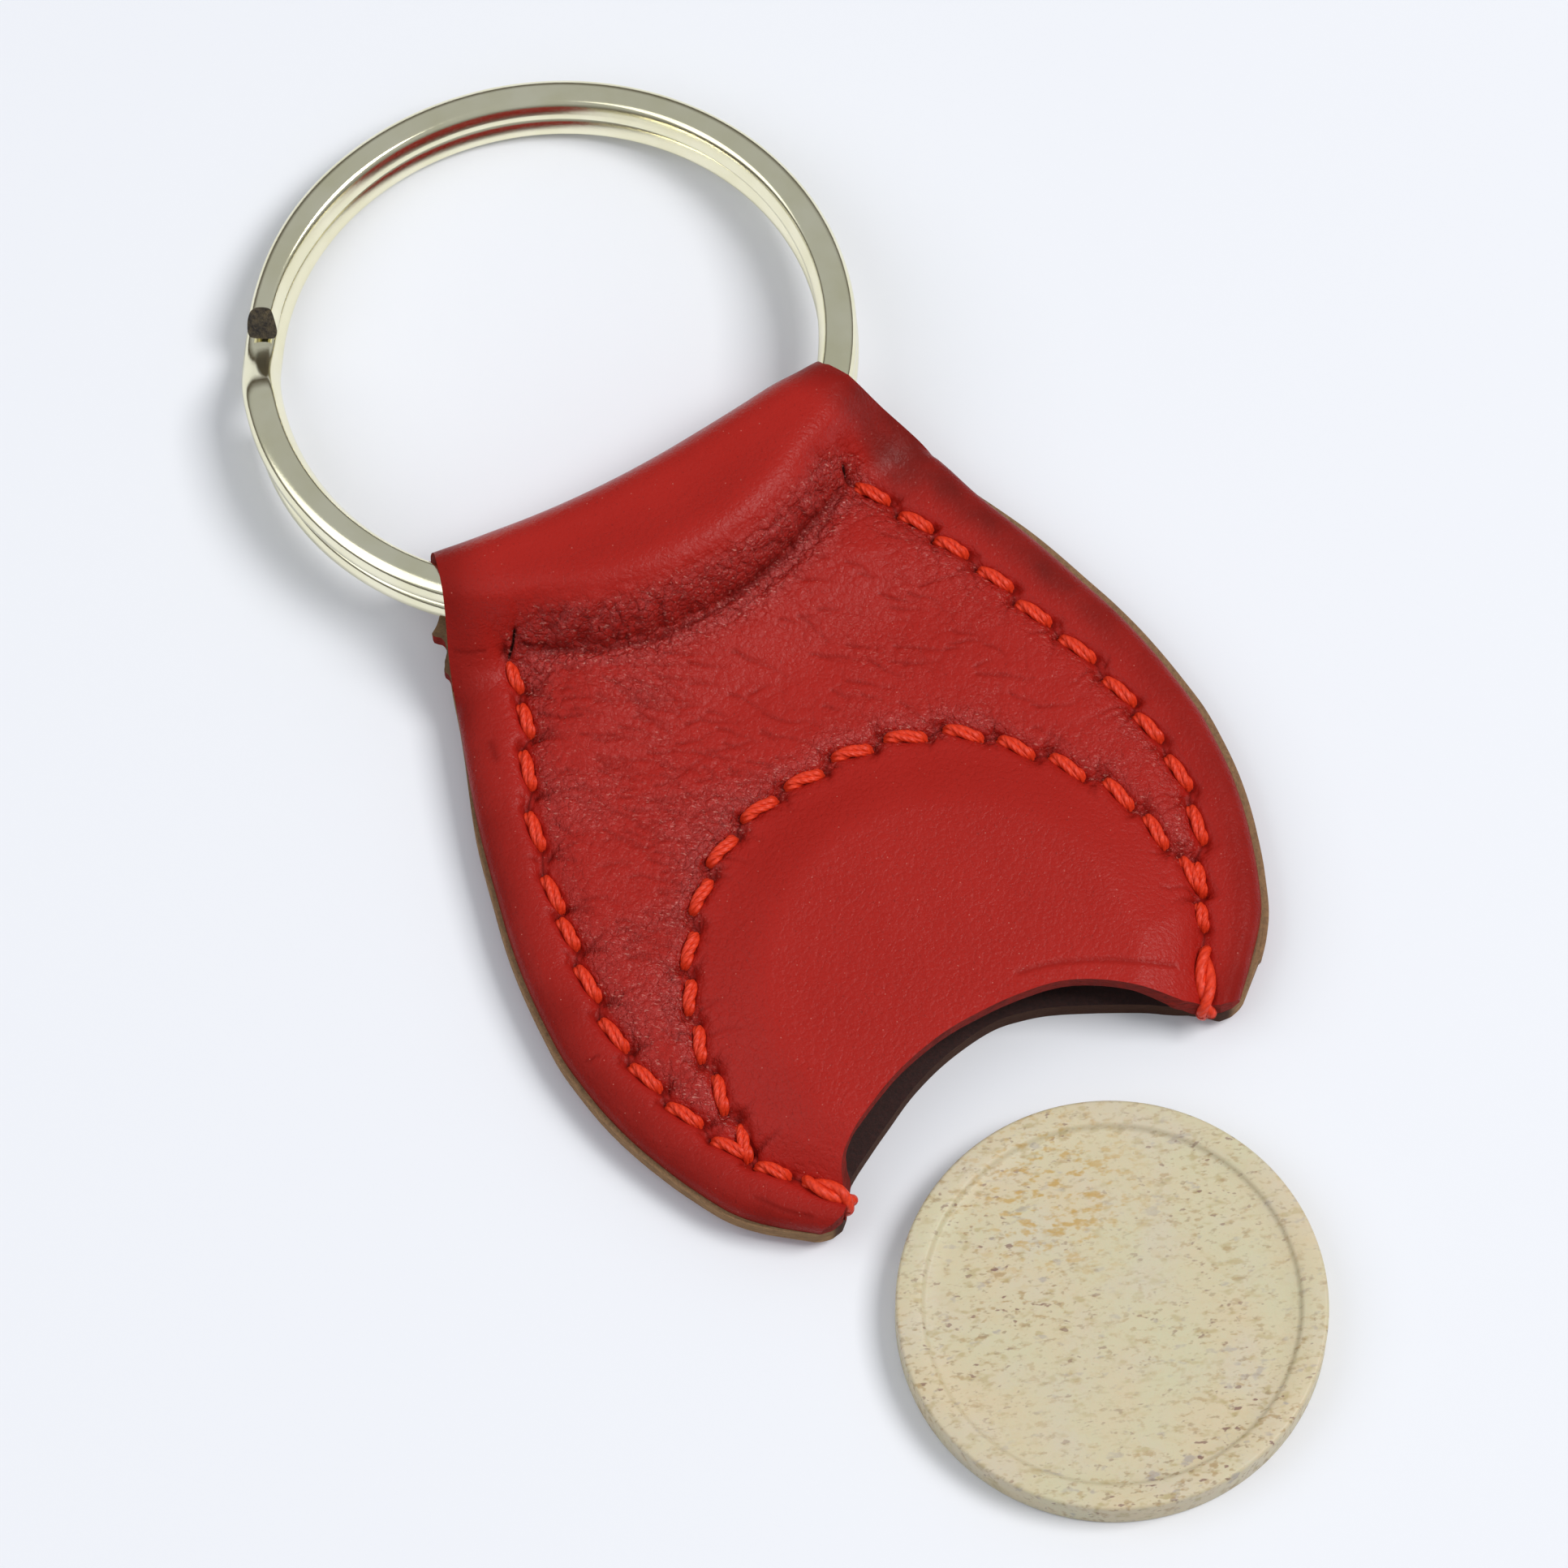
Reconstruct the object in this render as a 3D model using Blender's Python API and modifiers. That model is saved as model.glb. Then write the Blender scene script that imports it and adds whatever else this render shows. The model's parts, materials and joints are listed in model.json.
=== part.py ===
"""A leather keyring: a sewn token pocket, a fold that holds a split ring, and a loose token.

Metres, +Z up. +X runs from the ring to the pocket's mouth. The origin is at the middle of the
pocket's round seam, on the flat underside that the keyring rests on.
"""

import bmesh
import bpy
import math
from mathutils import Vector

# Plan of the hides, as distances from the fold's corners along X, and half widths at them.
SEAM_CENTRE_FROM_FOLD = 0.03515
OUTLINE = (
    (0.0, 0.0121), (0.003, 0.0130), (0.0061, 0.0142), (0.0082, 0.0152), (0.0109, 0.0164),
    (0.0131, 0.0174), (0.0158, 0.0182), (0.0192, 0.0188), (0.0225, 0.0195), (0.0259, 0.02005),
    (0.0287, 0.0204), (0.0314, 0.02025), (0.0340, 0.0198), (0.0366, 0.0189), (0.0399, 0.0169),
    (0.0421, 0.0150), (0.0439, 0.0132),
)
TIP_FROM_FOLD = 0.0439
NOTCH_RADIUS = 0.0135
NOTCH_CENTRE_FROM_FOLD = 0.0513
BACK_OVERHANG = 0.0004
BACK_REAR_FROM_FOLD = 0.0048
FRONT_REAR_FROM_FOLD = 0.0065

# Seams: the side seam's half spread, and the pocket's round seam.
SIDE_SEAM = (
    (0.0066, 0.0108), (0.0101, 0.0122), (0.0130, 0.0136), (0.0157, 0.0146), (0.0190, 0.0155),
    (0.0216, 0.0162), (0.0248, 0.01685), (0.0280, 0.0171), (0.0308, 0.0171), (0.0340, 0.0163),
    (0.0368, 0.0150), (0.0390, 0.0138), (0.0428, 0.0122),
)
POCKET_SEAM_RADIUS = 0.0142
POCKET_SEAM_HALF_ANGLE = math.radians(86)
STITCH_PITCH = 0.0030
STITCH_RISE = 0.00015
TOP_THREAD_DIAMETER = 0.0007
UNDER_THREAD_DIAMETER = 0.0004
THREAD_CLEARANCE = 0.00034
POINTS_PER_STITCH = 4

# Leather, and how the sewn margins stand off the surface that the belly rests on.
BACK_THICKNESS = 0.0013
FRONT_THICKNESS = 0.0011
MARGIN_LIFT = 0.0008
SEAM_PUCKER = 0.0002
PUCKER_REACH = 0.0009
HIDE_GAP = 0.0003
POCKET_HEIGHT = 0.00245
BACK_RISE_REACH = 0.0025
FRONT_RISE_REACH = 0.0050
TAIL_LIFT = 0.0006
TAIL_FADE = 0.0060

# The loop round the ring, and the crease that it bends at.
LOOP_THICKNESS = 0.00105
FOLD_BOW = 0.0016
FOLD_MIDDLE_FROM_FOLD = 0.0008
FOLD_MIDDLE_HALF_WIDTH = 0.0121
FOLD_UNDERSIDE = 0.00195
FOLD_BOTTOM_ROUND = 0.0016
FOLD_TOP_ROUND = 0.0016
HUMP_ROUND = 0.0019
NOSE_RADIUS = 0.0011
CREASE_ROUND = 0.0004
CREASE_FROM_FOLD = 0.0105
CREASE_HALF_WIDTH = 0.0098
EAR_CLEARANCE = 0.0003
SHOULDER_FROM_FOLD = 0.0060
RING_CLEARANCE = 0.00035
CHANNEL_CLEARANCE = 0.00015

# The split ring, pitched so that its far side rests on the surface.
RING_OUTER_RADIUS = 0.0172
RING_WIRE_WIDTH = 0.00216
RING_WIRE_HEIGHT = 0.00130
RING_WIRE_CHAMFER = 0.00035
RING_COIL_GAP = 0.00042
RING_REACH_FROM_FOLD = 0.0090
RING_PITCH = math.radians(7.5)
RING_CUT_ANGLE = math.radians(-109.1)
RING_JOGGLE_ANGLE = math.radians(15.1)
RING_CUT_GAP_ANGLE = math.radians(5.3)
RING_LOW_START_ANGLE = math.radians(2.5)
RING_STEP_ANGLE = math.radians(7.5)

# The token.
TOKEN_DIAMETER = 0.02325
TOKEN_THICKNESS = 0.00233
TOKEN_RIM_WIDTH = 0.00145
TOKEN_RECESS = 0.00035
TOKEN_EDGE_ROUND = 0.00025
TOKEN_FROM_FOLD = 0.0550
TOKEN_OFFSET = -0.0018

CUT_OVERRUN = 0.0010
MERGE_DISTANCE = 0.00001

# Counts and places along the grids of the hides.
PANEL_ROWS = 26
PANEL_COLUMN_SHARES = (0.0, 0.13, 0.26, 0.38, 0.49, 0.59, 0.67, 0.73, 0.78, 0.83, 0.88, 0.94, 1.0)
LOOP_STATION_SHARES = (0.0, 0.16, 0.32, 0.46, 0.58, 0.68, 0.76, 0.86, 1.0)
CORNER_STEPS = 4
TOKEN_STEPS = 64
CHANNEL_STEPS = 96
FIXED_POINT_ROUNDS = 24
SHARP_ANGLE = math.radians(50)

# Heights that the panels, the loop and the threads share.
BACK_MARGIN_TOP = MARGIN_LIFT + BACK_THICKNESS
FRONT_MARGIN_BOTTOM = BACK_MARGIN_TOP + SEAM_PUCKER + HIDE_GAP
FRONT_DOME_LIFT = BACK_THICKNESS + POCKET_HEIGHT - FRONT_MARGIN_BOTTOM
LOOP_UNDERSIDE = BACK_MARGIN_TOP + HIDE_GAP
NOSE_HEIGHT = LOOP_UNDERSIDE + NOSE_RADIUS
RING_HEIGHT = RING_WIRE_HEIGHT + RING_COIL_GAP + RING_WIRE_HEIGHT
RING_CENTRE_LIFT = RING_OUTER_RADIUS * math.sin(RING_PITCH)


def from_fold(distance):
    """X of a place given as its distance from the fold's corners."""
    return distance - SEAM_CENTRE_FROM_FOLD


def table_value(table, place):
    """Value of a table at a place, on straight lines between its rows and level past its ends."""
    if place <= table[0][0]:
        return table[0][1]
    for (start, low), (end, high) in zip(table, table[1:]):
        if place <= end:
            return low + (high - low) * (place - start) / (end - start)
    return table[-1][1]


def smooth_step(share):
    share = min(max(share, 0.0), 1.0)
    return share * share * (3 - 2 * share)


def half_width(x):
    return table_value(OUTLINE, x + SEAM_CENTRE_FROM_FOLD)


def seam_spread(x):
    return table_value(SIDE_SEAM, x + SEAM_CENTRE_FROM_FOLD)


def inside_pocket(x, y):
    """Distance inside the pocket's seams, below zero in the margins and towards the ring."""
    inside_arc = POCKET_SEAM_RADIUS - math.hypot(min(x, 0.0), y)
    return min(inside_arc, seam_spread(x) - abs(y))


def seam_nearness(x, y):
    """1 on a seam line, falling away from it."""
    to_side = seam_spread(x) - abs(y)
    to_arc = POCKET_SEAM_RADIUS - math.hypot(x, y)
    nearest = abs(to_side) if x > 0 else min(abs(to_side), abs(to_arc))
    return math.exp(-((nearest / PUCKER_REACH) ** 2))


def back_underside(x, y):
    rise = 1 - smooth_step(inside_pocket(x, y) / BACK_RISE_REACH)
    return MARGIN_LIFT * rise + SEAM_PUCKER * seam_nearness(x, y) * rise


def tail_share(x, y):
    """How much of the hidden tail's thickness still lifts the front hide here."""
    along = 1 - smooth_step((x - from_fold(CREASE_FROM_FOLD)) / TAIL_FADE)
    across = smooth_step((seam_spread(x) - abs(y)) / BACK_RISE_REACH)
    return along * across


def front_underside(x, y):
    dome = FRONT_DOME_LIFT * smooth_step(inside_pocket(x, y) / FRONT_RISE_REACH)
    return FRONT_MARGIN_BOTTOM + dome + TAIL_LIFT * tail_share(x, y)


def front_top(x, y):
    return front_underside(x, y) + FRONT_THICKNESS


def notch_x(y):
    """X of the cut end at this Y: the notch's arc, then the two square tips."""
    reach = math.sqrt(max(NOTCH_RADIUS ** 2 - y ** 2, 0.0))
    return from_fold(min(NOTCH_CENTRE_FROM_FOLD - reach, TIP_FROM_FOLD))


def material(name, colour, roughness, metallic):
    made = bpy.data.materials.new(name)
    made.use_nodes = True
    shader = made.node_tree.nodes["Principled BSDF"]
    shader.inputs["Base Color"].default_value = (*colour, 1.0)
    shader.inputs["Roughness"].default_value = roughness
    shader.inputs["Metallic"].default_value = metallic
    return made


def add_object(name, data, collection, finish=None):
    made = bpy.data.objects.new(name, data)
    if finish:
        data.materials.append(finish)
    collection.objects.link(made)
    return made


def mesh_object(name, shape, collection, finish=None):
    data = bpy.data.meshes.new(name)
    bmesh.ops.recalc_face_normals(shape, faces=shape.faces)
    shape.to_mesh(data)
    shape.free()
    return add_object(name, data, collection, finish)


def add_boolean(target, cutter, operation):
    cut = target.modifiers.new(cutter.name, "BOOLEAN")
    cut.object = cutter
    cut.operation = operation


def mark_cutter(cutter):
    cutter.hide_render = True
    cutter.display_type = "WIRE"
    return cutter


def box_cutter(name, low, high, collection):
    shape = bmesh.new()
    bmesh.ops.create_cube(shape, size=1.0)
    for vertex in shape.verts:
        for axis in range(3):
            middle = (low[axis] + high[axis]) / 2
            vertex.co[axis] = middle + vertex.co[axis] * (high[axis] - low[axis])
    return mark_cutter(mesh_object(name, shape, collection))


def panel_place(rear, overhang, along_share, across_share):
    """A point of a hide's grid: rows run from its rear edge to the notch."""
    end = notch_x(0.0)
    for _ in range(FIXED_POINT_ROUNDS):
        end = (end + notch_x(across_share * (half_width(end) + overhang))) / 2
    x = rear + (end - rear) * along_share
    return x, across_share * (half_width(x) + overhang)


def make_panel(name, rear, overhang, underside, thickness, collection, finish):
    """One hide, as a grid that follows its outline, thickened upwards from its underside."""
    mirrored = [-share for share in reversed(PANEL_COLUMN_SHARES[1:])]
    columns = mirrored + list(PANEL_COLUMN_SHARES)
    shape = bmesh.new()
    bmesh.ops.create_grid(shape, x_segments=PANEL_ROWS, y_segments=len(columns) - 1, size=1.0)
    for vertex in shape.verts:
        along = (vertex.co.x + 1) / 2
        column = round((vertex.co.y + 1) / 2 * (len(columns) - 1))
        x, y = panel_place(rear, overhang, along, columns[column])
        vertex.co = (x, y, underside(x, y))
    panel = mesh_object(name, shape, collection, finish)
    if panel.data.polygons[0].normal.z < 0:
        panel.data.flip_normals()
    shell = panel.modifiers.new("thickness", "SOLIDIFY")
    shell.thickness = thickness
    shell.offset = 1.0
    panel.data.shade_smooth()
    panel.data.set_sharp_from_angle(angle=SHARP_ANGLE)
    return panel


def make_front_panel(collection, cutters):
    finish = material("front_leather", (0.40, 0.020, 0.018), 0.5, 0.0)
    panel = make_panel(
        "front_panel", from_fold(FRONT_REAR_FROM_FOLD), 0.0, front_underside,
        FRONT_THICKNESS, collection, finish,
    )
    reach = from_fold(CREASE_FROM_FOLD) + NOSE_RADIUS + HIDE_GAP
    spread = CREASE_HALF_WIDTH + EAR_CLEARANCE
    low = (from_fold(FRONT_REAR_FROM_FOLD) - CUT_OVERRUN, -spread, 0.0)
    high = (reach, spread, FRONT_MARGIN_BOTTOM + FRONT_THICKNESS + TAIL_LIFT + CUT_OVERRUN)
    add_boolean(panel, box_cutter("loop_space", low, high, cutters), "DIFFERENCE")
    return panel


def make_back_panel(collection):
    finish = material("back_leather", (0.33, 0.045, 0.025), 0.7, 0.0)
    return make_panel(
        "back_panel", from_fold(BACK_REAR_FROM_FOLD), BACK_OVERHANG, back_underside,
        BACK_THICKNESS, collection, finish,
    )


def rounded_section(corners):
    """Points of a closed XZ outline. Each corner is (x, z, radius)."""
    points = []
    count = len(corners)
    for index, (x, z, radius) in enumerate(corners):
        here = Vector((x, z))
        before = Vector(corners[index - 1][:2]) - here
        after = Vector(corners[(index + 1) % count][:2]) - here
        bend = before.angle(after)
        cut = radius / math.tan(bend / 2)
        middle = before.normalized() + after.normalized()
        centre = here + middle.normalized() * (radius / math.sin(bend / 2))
        first = here + before.normalized() * cut - centre
        last = here + after.normalized() * cut - centre
        turn = first.angle_signed(last)
        for step in range(CORNER_STEPS + 1):
            spin = -turn * step / CORNER_STEPS
            turned = Vector((
                first.x * math.cos(spin) - first.y * math.sin(spin),
                first.x * math.sin(spin) + first.y * math.cos(spin),
            ))
            points.append(centre + turned)
    return points


def loft_along_y(name, stations, collection, finish=None):
    """A closed solid through XZ outlines of equal counts, each given as (y, points)."""
    shape = bmesh.new()
    rings = []
    for y, points in stations:
        rings.append([shape.verts.new((point.x, y, point.y)) for point in points])
    for low, high in zip(rings, rings[1:]):
        for index in range(len(low)):
            after = (index + 1) % len(low)
            shape.faces.new((low[index], low[after], high[after], high[index]))
    shape.faces.new(rings[0])
    shape.faces.new(list(reversed(rings[-1])))
    bmesh.ops.remove_doubles(shape, verts=shape.verts, dist=MERGE_DISTANCE)
    return mesh_object(name, shape, collection, finish)


def fold_x(y):
    bow = FOLD_BOW * (y / FOLD_MIDDLE_HALF_WIDTH) ** 2
    return from_fold(FOLD_MIDDLE_FROM_FOLD - bow)


def ring_underside(x):
    """Height of the ring's lower face above this X."""
    return RING_CENTRE_LIFT + (x - ring_centre_x()) * math.tan(RING_PITCH)


def ring_centre_x():
    return from_fold(RING_REACH_FROM_FOLD) - RING_OUTER_RADIUS


def ring_reach(y):
    """X of the ring's outer edge on the pouch's side at this Y."""
    return ring_centre_x() + math.sqrt(max(RING_OUTER_RADIUS ** 2 - y ** 2, 0.0))


def loop_wall_x(y):
    """Inner face of the loop's wall, held back past the shoulders so that the ring leaves freely."""
    return max(ring_reach(y), from_fold(SHOULDER_FROM_FOLD) + RING_CLEARANCE) + RING_CLEARANCE


def tunnel_section(y):
    """The hollow that the ring passes through."""
    left = fold_x(y) + LOOP_THICKNESS
    right = loop_wall_x(y)
    floor_left = FOLD_UNDERSIDE + LOOP_THICKNESS
    floor_right = LOOP_UNDERSIDE + LOOP_THICKNESS
    top_left = ring_underside(left) + RING_HEIGHT + RING_CLEARANCE
    top_right = ring_underside(right) + RING_HEIGHT + RING_CLEARANCE
    return rounded_section((
        (left, floor_left, FOLD_BOTTOM_ROUND - LOOP_THICKNESS),
        (from_fold(BACK_REAR_FROM_FOLD), floor_right, LOOP_THICKNESS),
        (right, floor_right, HUMP_ROUND - LOOP_THICKNESS),
        (right, top_right, HUMP_ROUND - LOOP_THICKNESS),
        (left, top_left, FOLD_TOP_ROUND - LOOP_THICKNESS),
    ))


def hide_section(y):
    """Outside of the loop, with the round nose at the crease."""
    left = fold_x(y)
    wall = loop_wall_x(y) + LOOP_THICKNESS
    nose = from_fold(CREASE_FROM_FOLD) + NOSE_RADIUS
    inner_left = left + LOOP_THICKNESS
    top_left = ring_underside(inner_left) + RING_HEIGHT + RING_CLEARANCE + LOOP_THICKNESS
    top_right = ring_underside(wall) + RING_HEIGHT + RING_CLEARANCE + LOOP_THICKNESS
    nose_top = NOSE_HEIGHT + NOSE_RADIUS
    return rounded_section((
        (left, FOLD_UNDERSIDE, FOLD_BOTTOM_ROUND),
        (from_fold(BACK_REAR_FROM_FOLD), LOOP_UNDERSIDE, LOOP_THICKNESS),
        (nose, LOOP_UNDERSIDE, NOSE_RADIUS),
        (nose, nose_top, NOSE_RADIUS),
        (min(wall, nose - NOSE_RADIUS - CREASE_ROUND), nose_top, CREASE_ROUND),
        (wall, top_right, HUMP_ROUND),
        (left, top_left, FOLD_TOP_ROUND),
    ))


def plan_prism(collection):
    """The loop's plan: sloping sides up to the shoulders, then the width between the ears."""
    shoulder = from_fold(SHOULDER_FROM_FOLD)
    front = from_fold(CREASE_FROM_FOLD) + NOSE_RADIUS + CUT_OVERRUN
    rear = fold_x(FOLD_MIDDLE_HALF_WIDTH) - CUT_OVERRUN
    sides = [(from_fold(place), width) for place, width in OUTLINE if place < SHOULDER_FROM_FOLD]
    half = [
        (front, CREASE_HALF_WIDTH),
        (shoulder, CREASE_HALF_WIDTH),
        (shoulder, half_width(shoulder)),
        *reversed(sides),
        (rear, half_width(rear)),
    ]
    outline = half + [(x, -y) for x, y in reversed(half)]
    top = ring_underside(front) + RING_HEIGHT + LOOP_THICKNESS + CUT_OVERRUN
    shape = bmesh.new()
    base = shape.faces.new([shape.verts.new((x, y, 0.0)) for x, y in outline])
    grown = bmesh.ops.extrude_face_region(shape, geom=[base])
    raised = [item for item in grown["geom"] if isinstance(item, bmesh.types.BMVert)]
    bmesh.ops.translate(shape, verts=raised, vec=(0.0, 0.0, top))
    return mark_cutter(mesh_object("loop_plan", shape, collection))


def ring_channel(collection):
    """The space that the ring turns through, so that no hide stands in its way."""
    inner = RING_OUTER_RADIUS - RING_WIRE_WIDTH - CHANNEL_CLEARANCE
    outer = RING_OUTER_RADIUS + CHANNEL_CLEARANCE
    low = -CHANNEL_CLEARANCE
    high = RING_HEIGHT + CHANNEL_CLEARANCE
    shape = bmesh.new()
    corners = [(outer, high), (outer, low), (inner, low), (inner, high)]
    verts = [shape.verts.new((x, 0.0, z)) for x, z in corners]
    edges = [shape.edges.new((verts[index - 1], verts[index])) for index in range(len(verts))]
    bmesh.ops.spin(
        shape, geom=verts + edges, axis=(0.0, 0.0, 1.0), cent=(0.0, 0.0, 0.0),
        angle=math.tau, steps=CHANNEL_STEPS, use_merge=True,
    )
    channel = mark_cutter(mesh_object("ring_channel", shape, collection))
    place_with_ring(channel)
    return channel


def place_with_ring(piece):
    piece.location = (ring_centre_x(), 0.0, RING_CENTRE_LIFT)
    piece.rotation_euler = (0.0, -RING_PITCH, 0.0)


def make_ring_loop(collection, cutters):
    finish = material("loop_leather", (0.40, 0.020, 0.018), 0.5, 0.0)
    widest = half_width(from_fold(SHOULDER_FROM_FOLD)) + CUT_OVERRUN
    mirrored = [-share for share in reversed(LOOP_STATION_SHARES[1:])]
    places = [share * widest for share in mirrored + list(LOOP_STATION_SHARES)]
    loop = loft_along_y(
        "ring_loop", [(y, hide_section(y)) for y in places], collection, finish
    )
    ends = [places[0] - CUT_OVERRUN] + places[1:-1] + [places[-1] + CUT_OVERRUN]
    tunnel = loft_along_y("ring_tunnel", [(y, tunnel_section(y)) for y in ends], cutters)
    add_boolean(loop, mark_cutter(tunnel), "DIFFERENCE")
    add_boolean(loop, plan_prism(cutters), "INTERSECT")
    add_boolean(loop, ring_channel(cutters), "DIFFERENCE")
    return loop


def ring_level(turned):
    """Height of the wire's middle after this much winding: low coil, joggle, then high coil."""
    low = RING_WIRE_HEIGHT / 2
    start = math.tau - RING_JOGGLE_ANGLE
    step = RING_WIRE_HEIGHT + RING_COIL_GAP
    return low + step * smooth_step((turned - start) / RING_JOGGLE_ANGLE)


def ring_points():
    middle = RING_OUTER_RADIUS - RING_WIRE_WIDTH / 2
    end = 2 * math.tau - RING_JOGGLE_ANGLE - RING_CUT_GAP_ANGLE
    count = round((end - RING_LOW_START_ANGLE) / RING_STEP_ANGLE)
    points = []
    for step in range(count + 1):
        turned = RING_LOW_START_ANGLE + (end - RING_LOW_START_ANGLE) * step / count
        angle = RING_CUT_ANGLE + turned
        height = ring_level(turned)
        points.append(Vector((middle * math.cos(angle), middle * math.sin(angle), height)))
    return points


def least_coil_gap(points):
    """Least clear distance between the two coils, from section to section of the wire."""
    half_turn = round(math.pi / RING_STEP_ANGLE)
    gaps = []
    for index, point in enumerate(points):
        for other in points[index + half_turn:]:
            beside = math.hypot(point.x - other.x, point.y - other.y)
            above = max(abs(point.z - other.z) - RING_WIRE_HEIGHT, 0.0)
            gaps.append(math.hypot(beside, above))
    return min(gaps)


def wire_section(centre, outward):
    """Corners of the flat wire, chamfered, round a point of its winding."""
    half_w = RING_WIRE_WIDTH / 2
    half_h = RING_WIRE_HEIGHT / 2
    in_w = half_w - RING_WIRE_CHAMFER
    in_h = half_h - RING_WIRE_CHAMFER
    corners = (
        (half_w, in_h), (in_w, half_h), (-in_w, half_h), (-half_w, in_h),
        (-half_w, -in_h), (-in_w, -half_h), (in_w, -half_h), (half_w, -in_h),
    )
    return [centre + outward * across + Vector((0.0, 0.0, up)) for across, up in corners]


def make_split_ring(collection):
    finish = material("nickel", (0.55, 0.53, 0.50), 0.28, 1.0)
    points = ring_points()
    print(f"least gap between the ring's coils: {least_coil_gap(points) * 1000:.2f} mm")
    shape = bmesh.new()
    rings = []
    for point in points:
        outward = Vector((point.x, point.y, 0.0)).normalized()
        rings.append([shape.verts.new(place) for place in wire_section(point, outward)])
    for low, high in zip(rings, rings[1:]):
        for index in range(len(low)):
            after = (index + 1) % len(low)
            shape.faces.new((low[index], low[after], high[after], high[index]))
    shape.faces.new(rings[0])
    shape.faces.new(list(reversed(rings[-1])))
    ring = mesh_object("split_ring", shape, collection, finish)
    place_with_ring(ring)
    return ring


def token_profile():
    """Half section of the token from its top centre down to its bottom centre."""
    radius = TOKEN_DIAMETER / 2
    field = radius - TOKEN_RIM_WIDTH
    top = TOKEN_THICKNESS
    edge = TOKEN_EDGE_ROUND
    upper = [
        (0.0, top - TOKEN_RECESS),
        (field - TOKEN_RECESS, top - TOKEN_RECESS),
        (field, top),
        (radius - edge, top),
        (radius, top - edge),
    ]
    return upper + [(x, TOKEN_THICKNESS - z) for x, z in reversed(upper)]


def make_token(collection):
    finish = material("token_plastic", (0.60, 0.54, 0.37), 0.5, 0.0)
    profile = token_profile()
    data = bpy.data.meshes.new("token")
    edges = [(index, index + 1) for index in range(len(profile) - 1)]
    data.from_pydata([(x, 0.0, z) for x, z in profile], edges, [])
    token = add_object("token", data, collection, finish)
    token.location = (from_fold(TOKEN_FROM_FOLD), TOKEN_OFFSET, 0.0)
    turned = token.modifiers.new("turned", "SCREW")
    turned.steps = TOKEN_STEPS
    turned.render_steps = TOKEN_STEPS
    turned.use_merge_vertices = True
    turned.merge_threshold = MERGE_DISTANCE
    turned.use_smooth_shade = True
    return token


def side_seam_route(side):
    return [Vector((from_fold(place), side * spread, 0.0)) for place, spread in SIDE_SEAM]


def pocket_seam_route():
    steps = round(POCKET_SEAM_RADIUS * POCKET_SEAM_HALF_ANGLE / STITCH_PITCH)
    route = []
    for step in range(-steps, steps + 1):
        angle = math.pi + POCKET_SEAM_HALF_ANGLE * step / steps
        route.append(Vector((
            POCKET_SEAM_RADIUS * math.cos(angle), POCKET_SEAM_RADIUS * math.sin(angle), 0.0,
        )))
    return route


def along_route(route, distance):
    for start, end in zip(route, route[1:]):
        step = (end - start).length
        if distance <= step:
            return start.lerp(end, distance / step)
        distance -= step
    return route[-1].copy()


def make_thread(name, route, height, diameter, rise, collection, finish):
    """A row of stitches as one tube, which rises at each stitch and dips at each hole."""
    length = sum((end - start).length for start, end in zip(route, route[1:]))
    stitches = round(length / STITCH_PITCH)
    count = stitches * POINTS_PER_STITCH
    data = bpy.data.curves.new(name, "CURVE")
    data.dimensions = "3D"
    data.bevel_depth = diameter / 2
    data.bevel_resolution = 1
    data.use_fill_caps = True
    spline = data.splines.new("POLY")
    spline.points.add(count)
    for step in range(count + 1):
        place = along_route(route, length * step / count)
        wave = (1 - math.cos(math.tau * step / POINTS_PER_STITCH)) / 2
        z = height(place.x, place.y) + rise * wave
        spline.points[step].co = (place.x, place.y, z, 1.0)
    return add_object(name, data, collection, finish)


def top_thread_height(x, y):
    return front_top(x, y) + THREAD_CLEARANCE + TOP_THREAD_DIAMETER / 2


def under_thread_height(x, y):
    return back_underside(x, y) - THREAD_CLEARANCE - UNDER_THREAD_DIAMETER / 2


def make_seams(collection):
    finish = material("thread", (0.80, 0.055, 0.015), 0.6, 0.0)
    routes = {
        "left_seam": side_seam_route(-1),
        "right_seam": side_seam_route(1),
        "pocket_seam": pocket_seam_route(),
    }
    for name, route in routes.items():
        make_thread(
            f"{name}_top", route, top_thread_height, TOP_THREAD_DIAMETER, STITCH_RISE,
            collection, finish,
        )
        make_thread(
            f"{name}_under", route, under_thread_height, UNDER_THREAD_DIAMETER, 0.0,
            collection, finish,
        )


def main():
    for old in list(bpy.data.objects):
        bpy.data.objects.remove(old)
    parts = bpy.data.collections.new("leather_keyring")
    cutters = bpy.data.collections.new("cutters")
    bpy.context.scene.collection.children.link(parts)
    bpy.context.scene.collection.children.link(cutters)
    make_back_panel(parts)
    make_front_panel(parts, cutters)
    make_ring_loop(parts, cutters)
    make_split_ring(parts)
    make_token(parts)
    make_seams(parts)


main()
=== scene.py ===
import json
import math

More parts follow.
